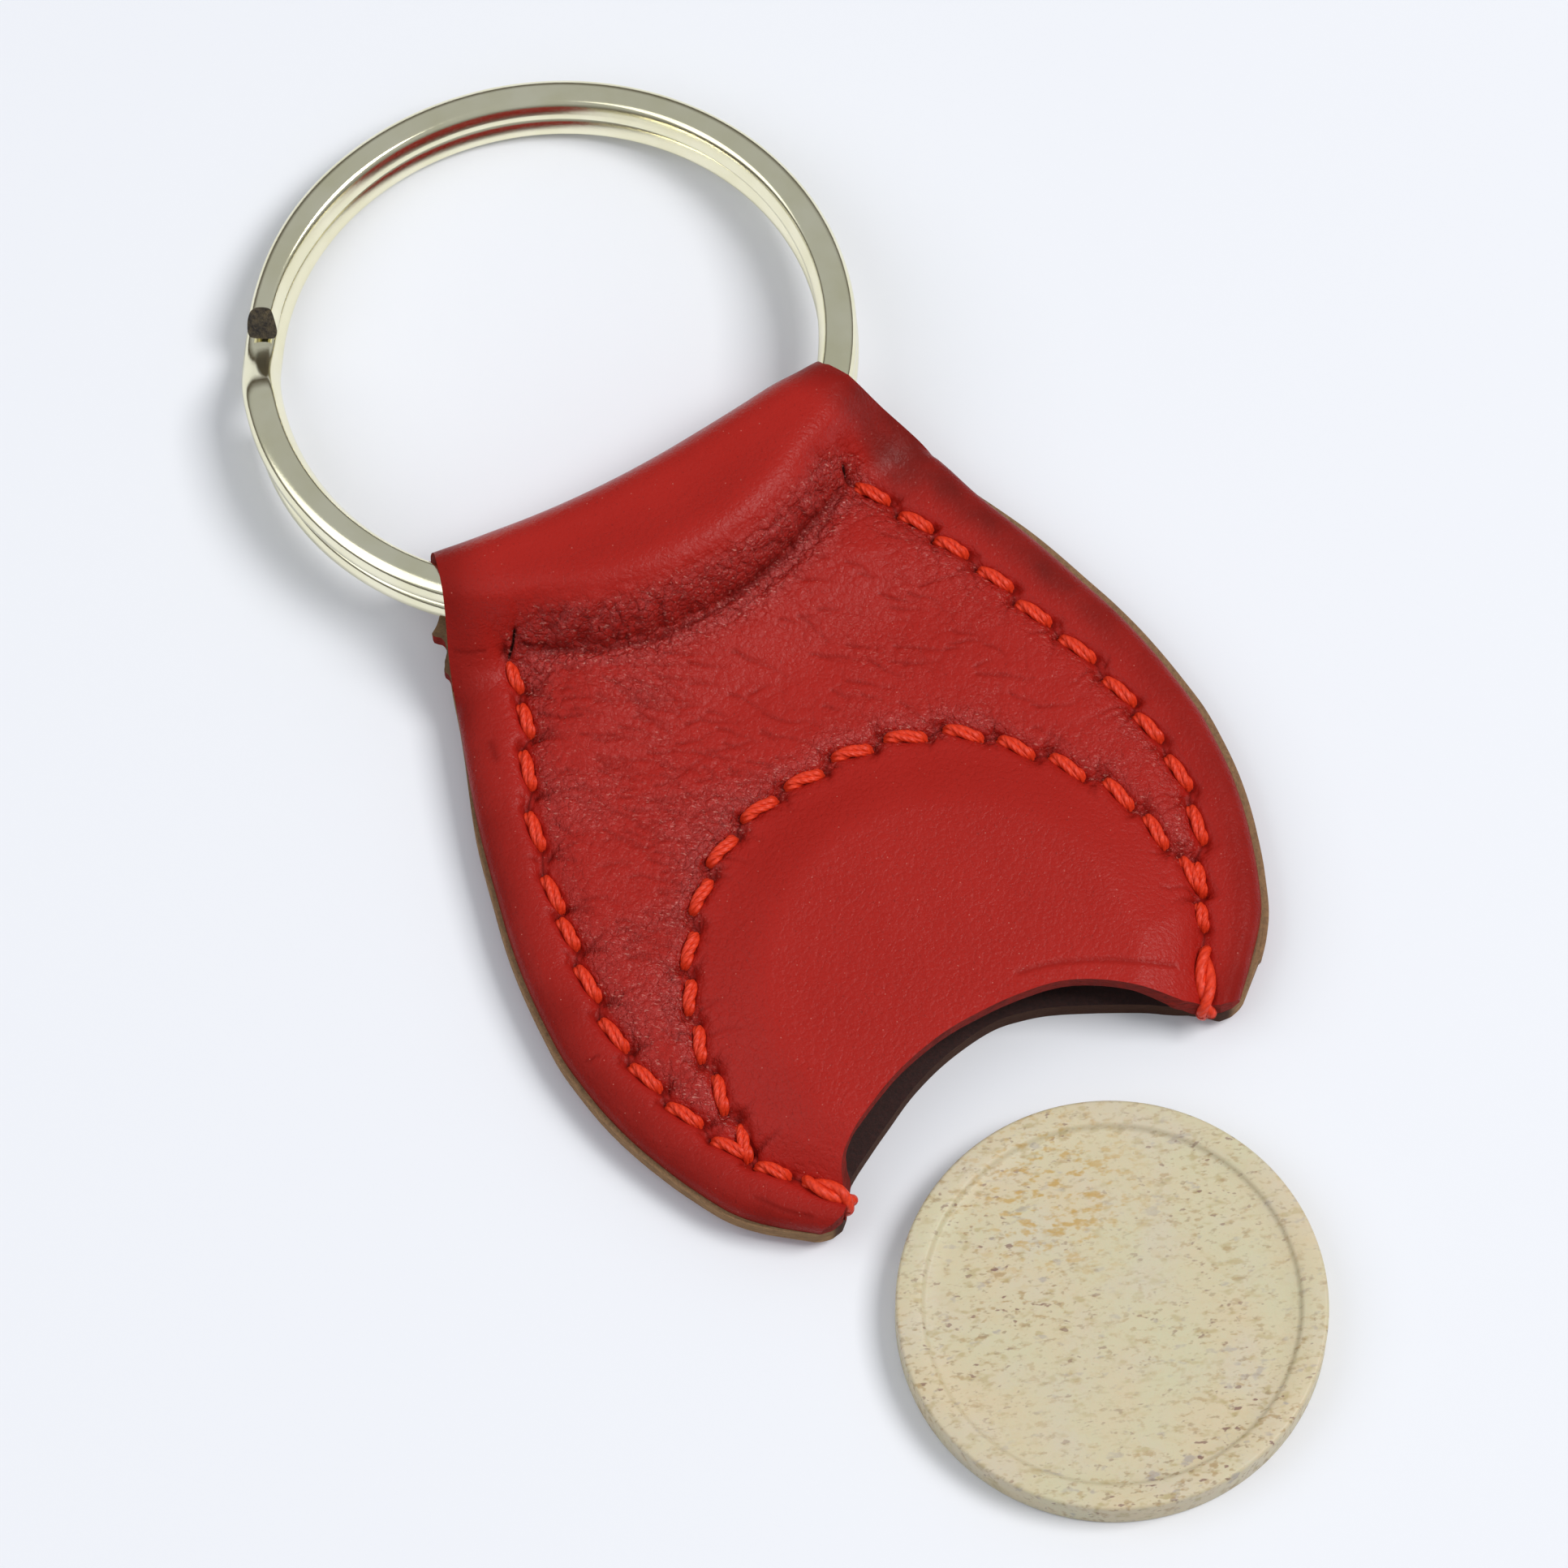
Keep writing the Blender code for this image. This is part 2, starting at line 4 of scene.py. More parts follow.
import bpy
import numpy as np
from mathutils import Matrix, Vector


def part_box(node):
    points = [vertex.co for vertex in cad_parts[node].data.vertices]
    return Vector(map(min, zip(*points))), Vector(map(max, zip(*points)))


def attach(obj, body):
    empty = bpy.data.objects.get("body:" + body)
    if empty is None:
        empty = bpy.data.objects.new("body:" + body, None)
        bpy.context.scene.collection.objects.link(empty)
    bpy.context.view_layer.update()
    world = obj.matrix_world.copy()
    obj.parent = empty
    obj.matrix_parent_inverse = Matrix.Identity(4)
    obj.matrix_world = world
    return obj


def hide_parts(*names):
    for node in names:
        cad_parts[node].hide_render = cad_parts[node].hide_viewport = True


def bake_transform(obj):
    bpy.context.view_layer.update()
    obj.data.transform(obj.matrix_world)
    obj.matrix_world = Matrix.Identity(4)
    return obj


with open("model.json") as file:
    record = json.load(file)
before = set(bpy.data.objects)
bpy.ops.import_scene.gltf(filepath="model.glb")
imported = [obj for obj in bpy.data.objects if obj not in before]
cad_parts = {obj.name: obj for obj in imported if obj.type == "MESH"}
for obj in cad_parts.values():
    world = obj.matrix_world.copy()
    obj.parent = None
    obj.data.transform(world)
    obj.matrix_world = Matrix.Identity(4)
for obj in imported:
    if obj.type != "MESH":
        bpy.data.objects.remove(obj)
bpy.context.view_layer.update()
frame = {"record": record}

# Shapes are worked out in millimetres from the fold's corners: +X to the mouth, +Z up.
MM = 0.001
SEAM_CENTRE = 35.15
TOKEN_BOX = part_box("token")
TOKEN_LOW, TOKEN_HIGH = np.array(TOKEN_BOX[0]) / MM, np.array(TOKEN_BOX[1]) / MM
TOKEN_MIDDLE = (TOKEN_LOW + TOKEN_HIGH) / 2 + (SEAM_CENTRE, 0.0, 0.0)
JOINTS = {joint["name"]: joint for joint in frame["record"]["behaviour"]["joints"]}
RING_JOINT = JOINTS["ring_turn"]

# Camera: read from the token's and the ring's ellipses in the 1932 pixel frame.
PHOTO_SIZE = 1932
FOCAL_PIXELS = 12000.0
CAMERA_TILT = math.radians(22.3)
CAMERA_TURN = math.radians(59.47)
CAMERA_DISTANCE = 535.7
CAMERA_TARGET = (19.36, -1.205, 0.0)
SENSOR_WIDTH = 36.0

# Plan of the front hide and of its side seams: half width at a distance from the fold's corners.
OUTLINE_X = (0.0, 3.0, 5.5, 8.0, 10.0, 12.0, 14.0, 16.0, 18.0, 20.0, 22.0, 24.0, 26.0, 28.0, 30.0, 32.0, 34.0,
             36.0, 38.0, 40.0, 42.0, 44.2)
OUTLINE_Y = (12.1, 13.15, 14.3, 15.2, 15.95, 16.7, 17.4, 18.0, 18.55, 19.1, 19.53, 19.83, 20.03, 20.15, 20.02,
             19.76, 19.3, 18.65, 17.85, 16.75, 14.9, 12.6)
SEAM_X = (5.2, 7.5, 10.1, 13.0, 15.7, 19.0, 21.6, 24.8, 28.0, 30.8, 34.0, 36.8, 39.0, 42.1, 43.9)
SEAM_Y = (10.3, 11.2, 12.2, 13.6, 14.6, 15.5, 16.2, 16.85, 17.1, 17.1, 16.3, 15.0, 13.8, 11.8, 11.3)
ARC_RADIUS = 14.2
BACK_OVERHANG = 0.42
BACK_REAR = 4.7
TIP_CORNERS = (
    (43.3, 11.4), (43.7, 11.9), (43.8, 12.6), (43.68, 13.2), (43.4, 13.8), (42.9, 14.4), (42.0, 15.0),
)

# Heights and thicknesses.
BACK_THICK = 1.3
MARGIN_LIFT = 0.8
FRONT_THICK = 1.0
LOOP_THICK = 0.82
FRONT_FLOOR = 2.14
MARGIN_TOP = 3.40
PILLOW = 0.42
DOME = 1.15
TAIL_RISE = 0.75
SEAM_DEPTH = 0.42
SEAM_HALF = 0.48
EDGE_ROUND = 1.3
EDGE_DROP = 1.10
BACK_SLOPE = 2.6

# The ring, from its joint, and the loop round it.
RING_RADIUS = 17.2
RING_WIDTH = 2.16
COIL_HEIGHT = 1.43
COIL_GAP = 0.14
RING_CENTRE = RING_JOINT["pos_m"][0] / MM + SEAM_CENTRE
RING_LIFT = RING_JOINT["pos_m"][2] / MM
RING_PITCH = math.asin(-RING_JOINT["axis"][0])
RING_HEIGHT = 2 * COIL_HEIGHT + COIL_GAP
FOLD_MIDDLE = 0.9
FOLD_BOW = 1.35
FOLD_HALF = 12.1
FOLD_ROUND = 2.4
LOOP_UNDERSIDE = 2.0
HUMP_CLEAR = 0.12
HUMP_ROUND = 2.4
WALL_CLEAR = 0.92
WALL_NEAREST = 7.3

# Grids: lanes across a hide, and rows along it.
FRONT_LANES = 300
TOP_ROWS = 370
FOLD_ROWS = 44
UNDER_ROWS = 24
DENSE_ROWS = 900
BACK_LANES = 170
BACK_ROWS = 190
# Edges over these angles in degrees show as sharp.
HIDE_SHARP = 55
PART_SHARP = 50

# Stitch centres in the photograph: side seams from the ring's end, the pocket's from tip to tip.
LEFT_STITCHES = (
    (632, 829), (648, 884), (650, 945), (659, 1020), (681, 1098), (700, 1147), (724, 1208), (756, 1272),
    (795, 1325), (843, 1371), (899, 1411), (953, 1440),
)
RIGHT_STITCHES = (
    (1073, 605), (1128, 640), (1172, 671), (1226, 710), (1273, 752), (1327, 796), (1379, 848), (1415, 893),
    (1452, 948), (1475, 1012), (1478, 1078), (1481, 1126),
)
ARC_STITCHES = (
    (916, 1403), (887, 1343), (862, 1282), (850, 1224), (850, 1166), (864, 1100), (890, 1044), (936, 993),
    (991, 957), (1050, 924), (1116, 905), (1187, 900), (1252, 917), (1315, 941), (1378, 974), (1424, 1020),
    (1467, 1072),
)
# The last, doubled stitches run over the ends of the notch.
LEFT_WRAP = ((988, 1453), (1043, 1474))
RIGHT_WRAP = ((1483, 1163), (1487, 1234))
# The mouth's edge on the front hide, and on the back hide under it.
NOTCH_PIXELS = (
    (1040, 1466), (1037, 1440), (1042, 1412), (1065, 1371), (1106, 1320), (1157, 1276),
    (1208, 1246), (1259, 1223), (1310, 1208), (1361, 1207), (1412, 1216), (1458, 1233),
)
BACK_NOTCH_PIXELS = (
    (1046, 1470), (1050, 1450), (1075, 1411), (1096, 1381), (1126, 1340), (1167, 1299),
    (1218, 1263), (1259, 1248), (1310, 1240), (1412, 1238), (1465, 1241),
)
# Lines in the leather: pixels, width and depth in millimetres, and how dark, as painted shade in the slits
# and creases and as the own colour of the few scratches and marks.
MARKS = (
    (((633, 764), (631, 784), (628, 812)), 0.13, 0.14, 1.0),
    (((1041, 576), (1046, 590)), 0.14, 0.12, 1.0),
    (((1255, 1198), (1285, 1189), (1320, 1184), (1365, 1182), (1400, 1185), (1447, 1190)), 0.15, 0.09, 0.30),
    (((640, 794), (680, 795), (730, 783), (758, 778), (800, 777), (832, 763), (868, 741), (903, 716),
      (938, 690), (972, 668), (1008, 636), (1036, 606)), 0.16, 0.15, 0.60),
    (((1005, 660), (1022, 634), (1044, 604)), 0.14, 0.12, 0.5),
    (((650, 808), (668, 799), (695, 792)), 0.10, 0.08, 0.4),
    (((656, 848), (670, 837), (682, 826)), 0.09, 0.08, 0.5),
    (((662, 879), (690, 884), (716, 880)), 0.10, 0.08, 0.5),
    (((560, 803), (578, 804), (598, 802)), 0.07, 0.04, 0.5),
    (((722, 1308), (738, 1300)), 0.07, 0.03, 0.6),
    (((930, 1475), (965, 1492), (1000, 1500)), 0.14, 0.08, 0.3),
    (((605, 916), (611, 934)), 0.24, 0.02, 0.40),
)

# Stitches: their share of the step between centres, and their turn from the seam.
STITCH_SHARE = 0.77
SHORTEST_STITCH = 1.7
LONGEST_STITCH = 2.45
SIDE_SLANT = math.radians(9)
ARC_SLANT = math.radians(-11)
THREAD_RADIUS = 0.195
BOBBIN_RADIUS = 0.17
STITCH_TWIST = 0.62
WRAP_TWIST = 1.15

# Short creases: greatest lengths on the flap's side and on the other, then width and depth.
SIDE_GATHERS = (2.1, 0.7)
ARC_GATHERS = (1.9, 1.2)
GATHER_SIZE = (0.080, 0.12)
FLAP_CREASES = 200
FLAP_CREASE_SIZE = (0.078, 0.09)
# Painted shade in the short creases, darker for the busy ones beside the left seam.
CREASE_SHADING = 0.42
BUSY_SHADING = 0.72

# Relief of the grain, in millimetres, and how dark the painted shade in its low places is.
PEBBLE_HEIGHT = 0.19
NET_DEPTH = 0.13
LONG_FOLDS = 0.075
HOLE_WIDTH = 0.24
HOLE_DEPTH = 0.22
HOLE_SHADING = 0.75
GROOVE_WIDTH = 0.13
GROOVE_SHADING = 0.72


def to_world(points):
    """Millimetres from the fold's corners to metres in the row frame."""
    moved = np.array(points, float)
    moved[..., 0] -= SEAM_CENTRE
    return moved * MM


def smooth(t):
    t = np.clip(t, 0.0, 1.0)
    return t * t * (3 - 2 * t)


def bell(distance, width):
    return np.exp(-(distance / width) ** 2)


def round_over(inset, radius):
    """Drop towards an edge along a quarter circle: 0 inside its radius, 1 at the edge."""
    edge = np.clip(1 - inset / radius, 0, 1)
    return 1 - np.sqrt(1 - edge ** 2)


def through(xs, ys, x):
    """A smooth curve through the table's points, level past its ends."""
    xs, ys = np.asarray(xs, float), np.asarray(ys, float)
    slopes = np.gradient(ys, xs)
    x = np.clip(x, xs[0], xs[-1])
    i = np.clip(np.searchsorted(xs, x, side="right") - 1, 0, len(xs) - 2)
    span = xs[i + 1] - xs[i]
    t = (x - xs[i]) / span
    return (
        ys[i] * (1 + 2 * t) * (1 - t) ** 2 + slopes[i] * span * t * (1 - t) ** 2
        + ys[i + 1] * t * t * (3 - 2 * t) + slopes[i + 1] * span * t * t * (t - 1)
    )


def half_width(x, side):
    """Half width of the front hide; +Y is a little fuller behind the loop, -Y at its tip."""
    fuller = 0.42 * bell(x - 7.6, 2.6) - 0.25 * bell(x - 1.2, 1.8)
    wider = 0.30 * bell(x - 41.6, 1.7)
    return through(OUTLINE_X, OUTLINE_Y, x) + np.where(np.asarray(side) > 0, fuller, wider)


def edge_inset(x, y):
    return half_width(x, y) - np.abs(y)


def seam_inset(x, y):
    return through(SEAM_X, SEAM_Y, x) - np.abs(y)


# Repeatable noise on a hashed lattice.
def lattice(ix, iy, seed):
    h = (ix * 374761393 + iy * 668265263 + seed * 1274126177) & 0xFFFFFFFF
    h = ((h ^ (h >> 13)) * 1103515245) & 0xFFFFFFFF
    return ((h ^ (h >> 16)) & 0xFFFF) / 32767.5 - 1.0


def noise(x, y, seed=0):
    ix, iy = np.floor(x).astype(np.int64), np.floor(y).astype(np.int64)
    fx, fy = smooth(x - ix), smooth(y - iy)
    low = lattice(ix, iy, seed) * (1 - fx) + lattice(ix + 1, iy, seed) * fx
    high = lattice(ix, iy + 1, seed) * (1 - fx) + lattice(ix + 1, iy + 1, seed) * fx
    return low * (1 - fy) + high * fy


def layered(x, y, size, seed=0, layers=3):
    total, scale = 0.0, 1.0
    for layer in range(layers):
        total = total + scale * noise(x / size, y / size, seed + layer)
        size, scale = size * 0.5, scale * 0.5
    return total / 1.75


def crease_lines(x, y, size, seed, width=0.12):
    """1 in narrow meandering valleys, 0 on the plates between them."""
    value = np.abs(layered(x, y, size, seed, 2))
    return np.clip(1 - value / width, 0, 1) ** 1.5


# Reading places off the photograph.
def camera_axes():
    back = np.array((
        math.sin(CAMERA_TURN) * math.sin(CAMERA_TILT),
        -math.cos(CAMERA_TURN) * math.sin(CAMERA_TILT),
        math.cos(CAMERA_TILT),
    ))
    right = np.array((math.cos(CAMERA_TURN), math.sin(CAMERA_TURN), 0.0))
    return right, np.cross(back, right), back


def from_pixel(pixel, height):
    """Place on the surface whose height(x, y) the pixel's ray meets."""
    right, up, back = camera_axes()
    eye = np.array(CAMERA_TARGET) + CAMERA_DISTANCE * back
    across = (pixel[0] - PHOTO_SIZE / 2) / FOCAL_PIXELS
    down = (pixel[1] - PHOTO_SIZE / 2) / FOCAL_PIXELS
    ray = right * across - up * down - back
    z = MARGIN_TOP
    for _ in range(12):
        place = eye + ray * (z - eye[2]) / ray[2]
        z = float(height(*place[:2]))
    return place[:2]


# The front hide's grain side.
def ring_reach(y):
    return RING_CENTRE + np.sqrt(np.maximum(RING_RADIUS ** 2 - y ** 2, 0.0))


def fold_x(y):
    """The fold bows out round the ring's curve, a little less on its +Y end."""
    bow = FOLD_MIDDLE - FOLD_BOW * (y / FOLD_HALF) ** 2
    return bow + 0.28 * smooth((y - 3.0) / 9.0) + 0.30 * smooth((y - 8.5) / 3.5)


def pocket_inset(x, y):
    arc = ARC_RADIUS - np.hypot(np.minimum(x - SEAM_CENTRE, 0.0), y)
    return np.minimum(arc, seam_inset(x, y))


def crease_x(y):
    """Foot of the loop's wall: it hugs the ring in the middle and runs to the first stitches."""
    wander = 0.24 * layered(0.0 * y, y, 2.1, 61) * smooth((10.5 - np.abs(y)) / 3.0)
    return np.maximum(ring_reach(y) + WALL_CLEAR, WALL_NEAREST) + wander


def calm_height(x, y):
    """The sewn part before its seams are pulled in: margins, flap and dome."""
    inside = seam_inset(x, y)
    z = MARGIN_TOP + PILLOW * smooth(inside / 2.0)
    z = z + TAIL_RISE * smooth((16.0 - x) / 6.0) * smooth((inside - 0.5) / 4.0)
    z = z + DOME * smooth(pocket_inset(x, y) / 4.6)
    return z - EDGE_DROP * round_over(edge_inset(x, y), EDGE_ROUND)


def centre_line(pixels, surface=calm_height):
    return np.array([from_pixel(pixel, surface) for pixel in pixels])


def stitch_ends(pixels, slant):
    """Two holes for each stitch, on a line turned a little from the seam's own."""
    centres = centre_line(pixels)
    forward = np.gradient(centres, axis=0)
    gap = np.linalg.norm(forward, axis=1, keepdims=True)
    step = forward / gap
    side = np.stack([-step[:, 1], step[:, 0]], axis=1)
    length = np.clip(gap * STITCH_SHARE, SHORTEST_STITCH, LONGEST_STITCH)
    half = (step * math.cos(slant) + side * math.sin(slant)) * length / 2
    return np.stack([centres - half, centres + half], axis=1)


LEFT_SEAM = stitch_ends(LEFT_STITCHES, SIDE_SLANT)
RIGHT_SEAM = stitch_ends(RIGHT_STITCHES, SIDE_SLANT)
ARC_SEAM = stitch_ends(ARC_STITCHES, ARC_SLANT)
SEAMS = (LEFT_SEAM, RIGHT_SEAM, ARC_SEAM)
WRAPS = [centre_line(LEFT_WRAP), centre_line(RIGHT_WRAP)]
SIDE_PATHS = [np.concatenate([seam.reshape(-1, 2), wrap]) for seam, wrap in zip(SEAMS[:2], WRAPS)]
ARC_PATH = ARC_SEAM.reshape(-1, 2)
HOLES = np.concatenate([seam.reshape(-1, 2) for seam in SEAMS])


def line_distance(x, y, path):
    """Distance from each place to a line of points."""
    nearest = np.full(np.shape(x), 1e9)
    for start, end in zip(path[:-1], path[1:]):
        leg = end - start
        t = np.clip(((x - start[0]) * leg[0] + (y - start[1]) * leg[1]) / (leg @ leg), 0, 1)
        nearest = np.minimum(nearest, (x - start[0] - t * leg[0]) ** 2 + (y - start[1] - t * leg[1]) ** 2)
    return np.sqrt(nearest)


def point_distance(x, y, points):
    """Distance from each place to the nearest of the points."""
    nearest = np.full(np.shape(x), 1e9)
    for px, py in points:
        nearest = np.minimum(nearest, (x - px) ** 2 + (y - py) ** 2)
    return np.sqrt(nearest)


def seam_distances(x, y):
    """Distances to the side seams and to the pocket's seam."""
    side = np.minimum(line_distance(x, y, SIDE_PATHS[0]), line_distance(x, y, SIDE_PATHS[1]))
    return side, line_distance(x, y, ARC_PATH)


def flat_height(x, y):
    """Grain side of the sewn part, with its seams pulled in."""
    side, arc = seam_distances(x, y)
    pull = bell(side, SEAM_HALF) + 1.25 * bell(arc, SEAM_HALF)
    return calm_height(x, y) - SEAM_DEPTH * np.minimum(pull, 1.4)


def hump_height(x, y):
    """Grain side over the ring; it sinks towards the hide's edges, more on the +Y one."""
    top = RING_LIFT + RING_HEIGHT + LOOP_THICK + HUMP_CLEAR
    rise = top + (x - RING_CENTRE) * math.tan(RING_PITCH) + 0.28 * smooth((5.0 - x) / 4.0)
    rise = rise + 0.42 * bell(x - ring_reach(y) + 2.0, 1.6) * smooth((12.5 - np.abs(y)) / 7.0)
    rounding = (0.15 + 0.30 * smooth(y / 4.0)) * round_over(edge_inset(x, y), HUMP_ROUND)
    return rise - 0.22 * smooth((np.abs(y) - 8.5) / 3.5) - 0.20 * smooth((y - 6.0) / 6.0) - rounding


def top_height(x, y):
    """Grain side of the front hide seen from above, hump and sewn part."""
    foot = crease_x(y)
    calm = smooth((np.abs(y) - 6.5) / 4.5)
    start = np.minimum(ring_reach(y) - 2.5 + 1.3 * calm, foot - 2.6)
    t = np.clip((x - start) / (foot - start), 0, 1)
    steep = np.maximum(1 - t ** 2.2, 0.0) ** (1 / 1.9)
    fall = (1 - calm) * steep + calm * (1 - smooth(t))
    low = flat_height(x, y)
    base = flat_height(np.maximum(x, foot), y)
    hump = base + (hump_height(np.minimum(x, foot), y) - base) * fall
    return np.where(x < foot, hump, low)


MARK_LINES = [(centre_line(pixels, top_height), *rest) for pixels, *rest in MARKS]


def crease_line(start, heading, length, chance):
    """A short, slightly wavy line of points."""
    forward = np.array((math.cos(heading), math.sin(heading)))
    side = np.array((-forward[1], forward[0]))
    t = np.linspace(0, 1, 5)
    sway = np.cumsum(chance.normal(0, 0.075, 5)) * length ** 0.5
    return start + forward * (t * length)[:, None] + side * (sway - sway[0])[:, None]


def gather_lines():
    """Creases that fan from each gap between stitches, longer on the flap than on the margins."""
    chance = np.random.default_rng(17)
    lines = []
    for row in SEAMS:
        for before, after in zip(row[:-1], row[1:]):
            place = (before[1] + after[0]) / 2
            forward = (after[1] - before[0]) / np.linalg.norm(after[1] - before[0])
            for side in (-1.0, 1.0):
                away = side * np.array((-forward[1], forward[0]))
                probe = place + 0.8 * away
                if row is ARC_SEAM:
                    on_flap, longest = pocket_inset(*probe) < 0, ARC_GATHERS
                else:
                    on_flap, longest = seam_inset(*probe) > 0, SIDE_GATHERS
                busy = row is LEFT_SEAM and on_flap
                # Painted shade in each gather, darker on the flap beside the left seam.
                dark = BUSY_SHADING if busy else CREASE_SHADING
                for lean in chance.uniform(-0.75, 0.75, 5 if busy else 2 + int(chance.random() < 0.5)):
                    heading = math.atan2(away[1], away[0]) + lean
                    length = longest[0 if on_flap else 1] * chance.uniform(0.45, 1.0)
                    first = place + away * 0.22 + forward * lean * 0.25
                    lines.append((crease_line(first, heading, length, chance), *GATHER_SIZE, dark))
    return lines


def flap_lines():
    """Fine creases across the flap, more of them beside the left seam."""
    chance = np.random.default_rng(29)
    right, up, _ = camera_axes()
    lines = []
    while len(lines) < FLAP_CREASES:
        place = chance.uniform((8.5, -15.0), (38.0, 13.0))
        on_flap = pocket_inset(*place) < -0.5 and place[0] > crease_x(place[1]) + 1.2
        sewn = seam_inset(*place) < 0.8
        if sewn or not on_flap or chance.random() < 0.8 * smooth((place[1] + 6.0) / 7.0):
            continue
        slope = chance.normal(-0.16, 0.26)
        across = right * math.cos(slope) + up * math.sin(slope)
        heading = math.atan2(across[1], across[0])
        line = crease_line(place, heading, chance.uniform(0.8, 3.6), chance)
        # Painted shade in the flap's creases.
        lines.append((line, *FLAP_CREASE_SIZE, CREASE_SHADING))
    return lines


SHORT_LINES = gather_lines() + flap_lines()


def short_creases(x, y):
    """Depth and painted shade of the short creases, each tapering off along its length."""
    deep, dark = np.zeros(np.shape(x)), np.zeros(np.shape(x))
    for path, width, depth, share in SHORT_LINES:
        low, high = path.min(axis=0) - 4 * width, path.max(axis=0) + 4 * width
        near = (x > low[0]) & (x < high[0]) & (y > low[1]) & (y < high[1])
        if not near.any():
            continue
        px, py = x[near], y[near]
        line = bell(line_distance(px, py, path), width)
        run = np.hypot(px - path[0, 0], py - path[0, 1]) / np.linalg.norm(path[-1] - path[0])
        line = line * (1 - 0.75 * np.clip(run, 0, 1) ** 1.5)
        deep[near] = np.maximum(deep[near], depth * line)
        dark[near] = np.maximum(dark[near], share * line)
    return deep, dark


def wrinkles(x, y):
    """Displacement of the grain side outwards, the painted shade in its creases, holes, slits and seams'
    groove (with a few real scratches and marks), and how crinkled it is.
    """
    u = x - crease_x(y)
    sides = smooth((12.3 - np.abs(y)) / 1.5)
    near = np.exp(-(np.minimum(u + 0.6, 0) / 1.1) ** 2 - (np.maximum(u - 0.4, 0) / 1.3) ** 2) * sides
    wx = x + 0.30 * layered(x, y, 1.7, 5)
    wy = y + 0.30 * layered(x, y, 1.7, 9)
    pebble = layered(wx, wy, 0.62, 21)
    net = crease_lines(wx * 1.3, wy * 0.8, 0.95, 11, 0.20)
    shift = near * (PEBBLE_HEIGHT * pebble - NET_DEPTH * net)
    # Long folds that run along the crease.
    along = bell(u - 0.75, 0.8) * smooth((10.5 - np.abs(y)) / 3.0)
    swing = layered(x, y * 0.6, 2.4, 31)
    shift = shift + along * LONG_FOLDS * np.sin(u * 5.5 + 3.4 * swing)
    # Fine wrinkles between the seams, mostly across the flap.
    inside = seam_inset(x, y)
    flap = smooth(inside / 0.8) * smooth((u - 0.5) / 2.5) * smooth(0.4 - pocket_inset(x, y))
    left = smooth((-y - 1.0) / 5.0)
    thread_x = x * 0.85 + 0.30 * y + 0.25 * layered(x, y, 1.3, 37)
    thread_y = y * 0.55 - 0.22 * x
    fine = crease_lines(thread_x, thread_y, 0.95, 41, 0.15)
    patch = 0.60 + 0.40 * smooth((layered(x, y, 4.0, 43) + 0.25) / 0.6)
    shift = shift - flap * patch * (0.045 + 0.030 * left) * fine + flap * 0.022 * layered(wx, wy, 0.7, 51)
    # Gathers fan from the gaps between stitches.
    deep, gather = short_creases(x, y)
    shift = shift - deep
    # Holes, and the lines and slits read off the photograph.
    hole = bell(point_distance(x, y, HOLES), HOLE_WIDTH)
    shift = shift - HOLE_DEPTH * hole
    # Painted shade in the stitch holes, and in the slits and creases among the lines; the few scratches and
    # marks among them are darkened in their own colour.
    dark = HOLE_SHADING * hole
    for path, width, depth, share in MARK_LINES:
        mark = bell(line_distance(x + 0.06 * layered(x, y, 0.5, 73), y, path), width)
        shift = shift - depth * mark
        dark = np.maximum(dark, share * mark)
    to_seam = np.minimum(*seam_distances(x, y))
    # Painted shade along the seams' groove, in the net beside the crease and in the gathers.
    dark = np.maximum(dark, GROOVE_SHADING * bell(to_seam, GROOVE_WIDTH))
    dark = np.maximum(dark, np.maximum(0.10 * near * net, gather))
    # Painted shade in the fine wrinkles on the flap.
    dark = np.maximum(dark, 0.10 * flap * patch * fine)
    shift = shift + 0.05 * layered(x, y, 5.0, 71, 2)
    seam = bell(to_seam, 1.1) * smooth(inside / 0.4)
    crinkle = np.clip(near + flap * patch * (0.45 + 0.20 * left) + 0.45 * seam, 0.25, 1.0)
    return shift, dark, crinkle


def smooth_path(points, count):
    """A Catmull-Rom line through the points."""
    padded = np.concatenate([[2 * points[0] - points[1]], points, [2 * points[-1] - points[-2]]])
    places = np.linspace(0, len(points) - 1 - 1e-6, count)
    out = []
    for place in places:
        i, t = int(place), place - int(place)
        a, b, c, d = padded[i:i + 4]
        square = (2 * a - 5 * b + 4 * c - d) * t * t
        out.append(0.5 * (2 * b + (c - a) * t + square + (3 * b - a - 3 * c + d) * t ** 3))
    return np.array(out)


def notch_table(pixels, surface):
    """The mouth's edge and the tips' cut ends, from one side to the other."""
    mouth = np.array(sorted(tuple(place) for place in centre_line(pixels, surface)[:, ::-1]))
    mouth = [tuple(row) for row in smooth_path(mouth, 120)]
    left = [(-y, x) for x, y in reversed(TIP_CORNERS)]
    rows = left + mouth + [(y, x) for x, y in TIP_CORNERS]
    rows = [row for index, row in enumerate(rows) if index == 0 or row[0] > rows[index - 1][0]]
    return np.array(rows)


FRONT_MOUTH = notch_table(NOTCH_PIXELS, calm_height)


def lane_end(share, width, mouth):
    """X of the cut end along a lane that keeps its share of the width."""
    low, high = np.full_like(share, 30.0), np.full_like(share, 44.6)
    for _ in range(40):
        middle = (low + high) / 2
        beyond = middle > np.interp(share * width(middle, share), mouth[:, 0], mouth[:, 1])
        high = np.where(beyond, middle, high)
        low = np.where(beyond, low, middle)
    return (low + high) / 2


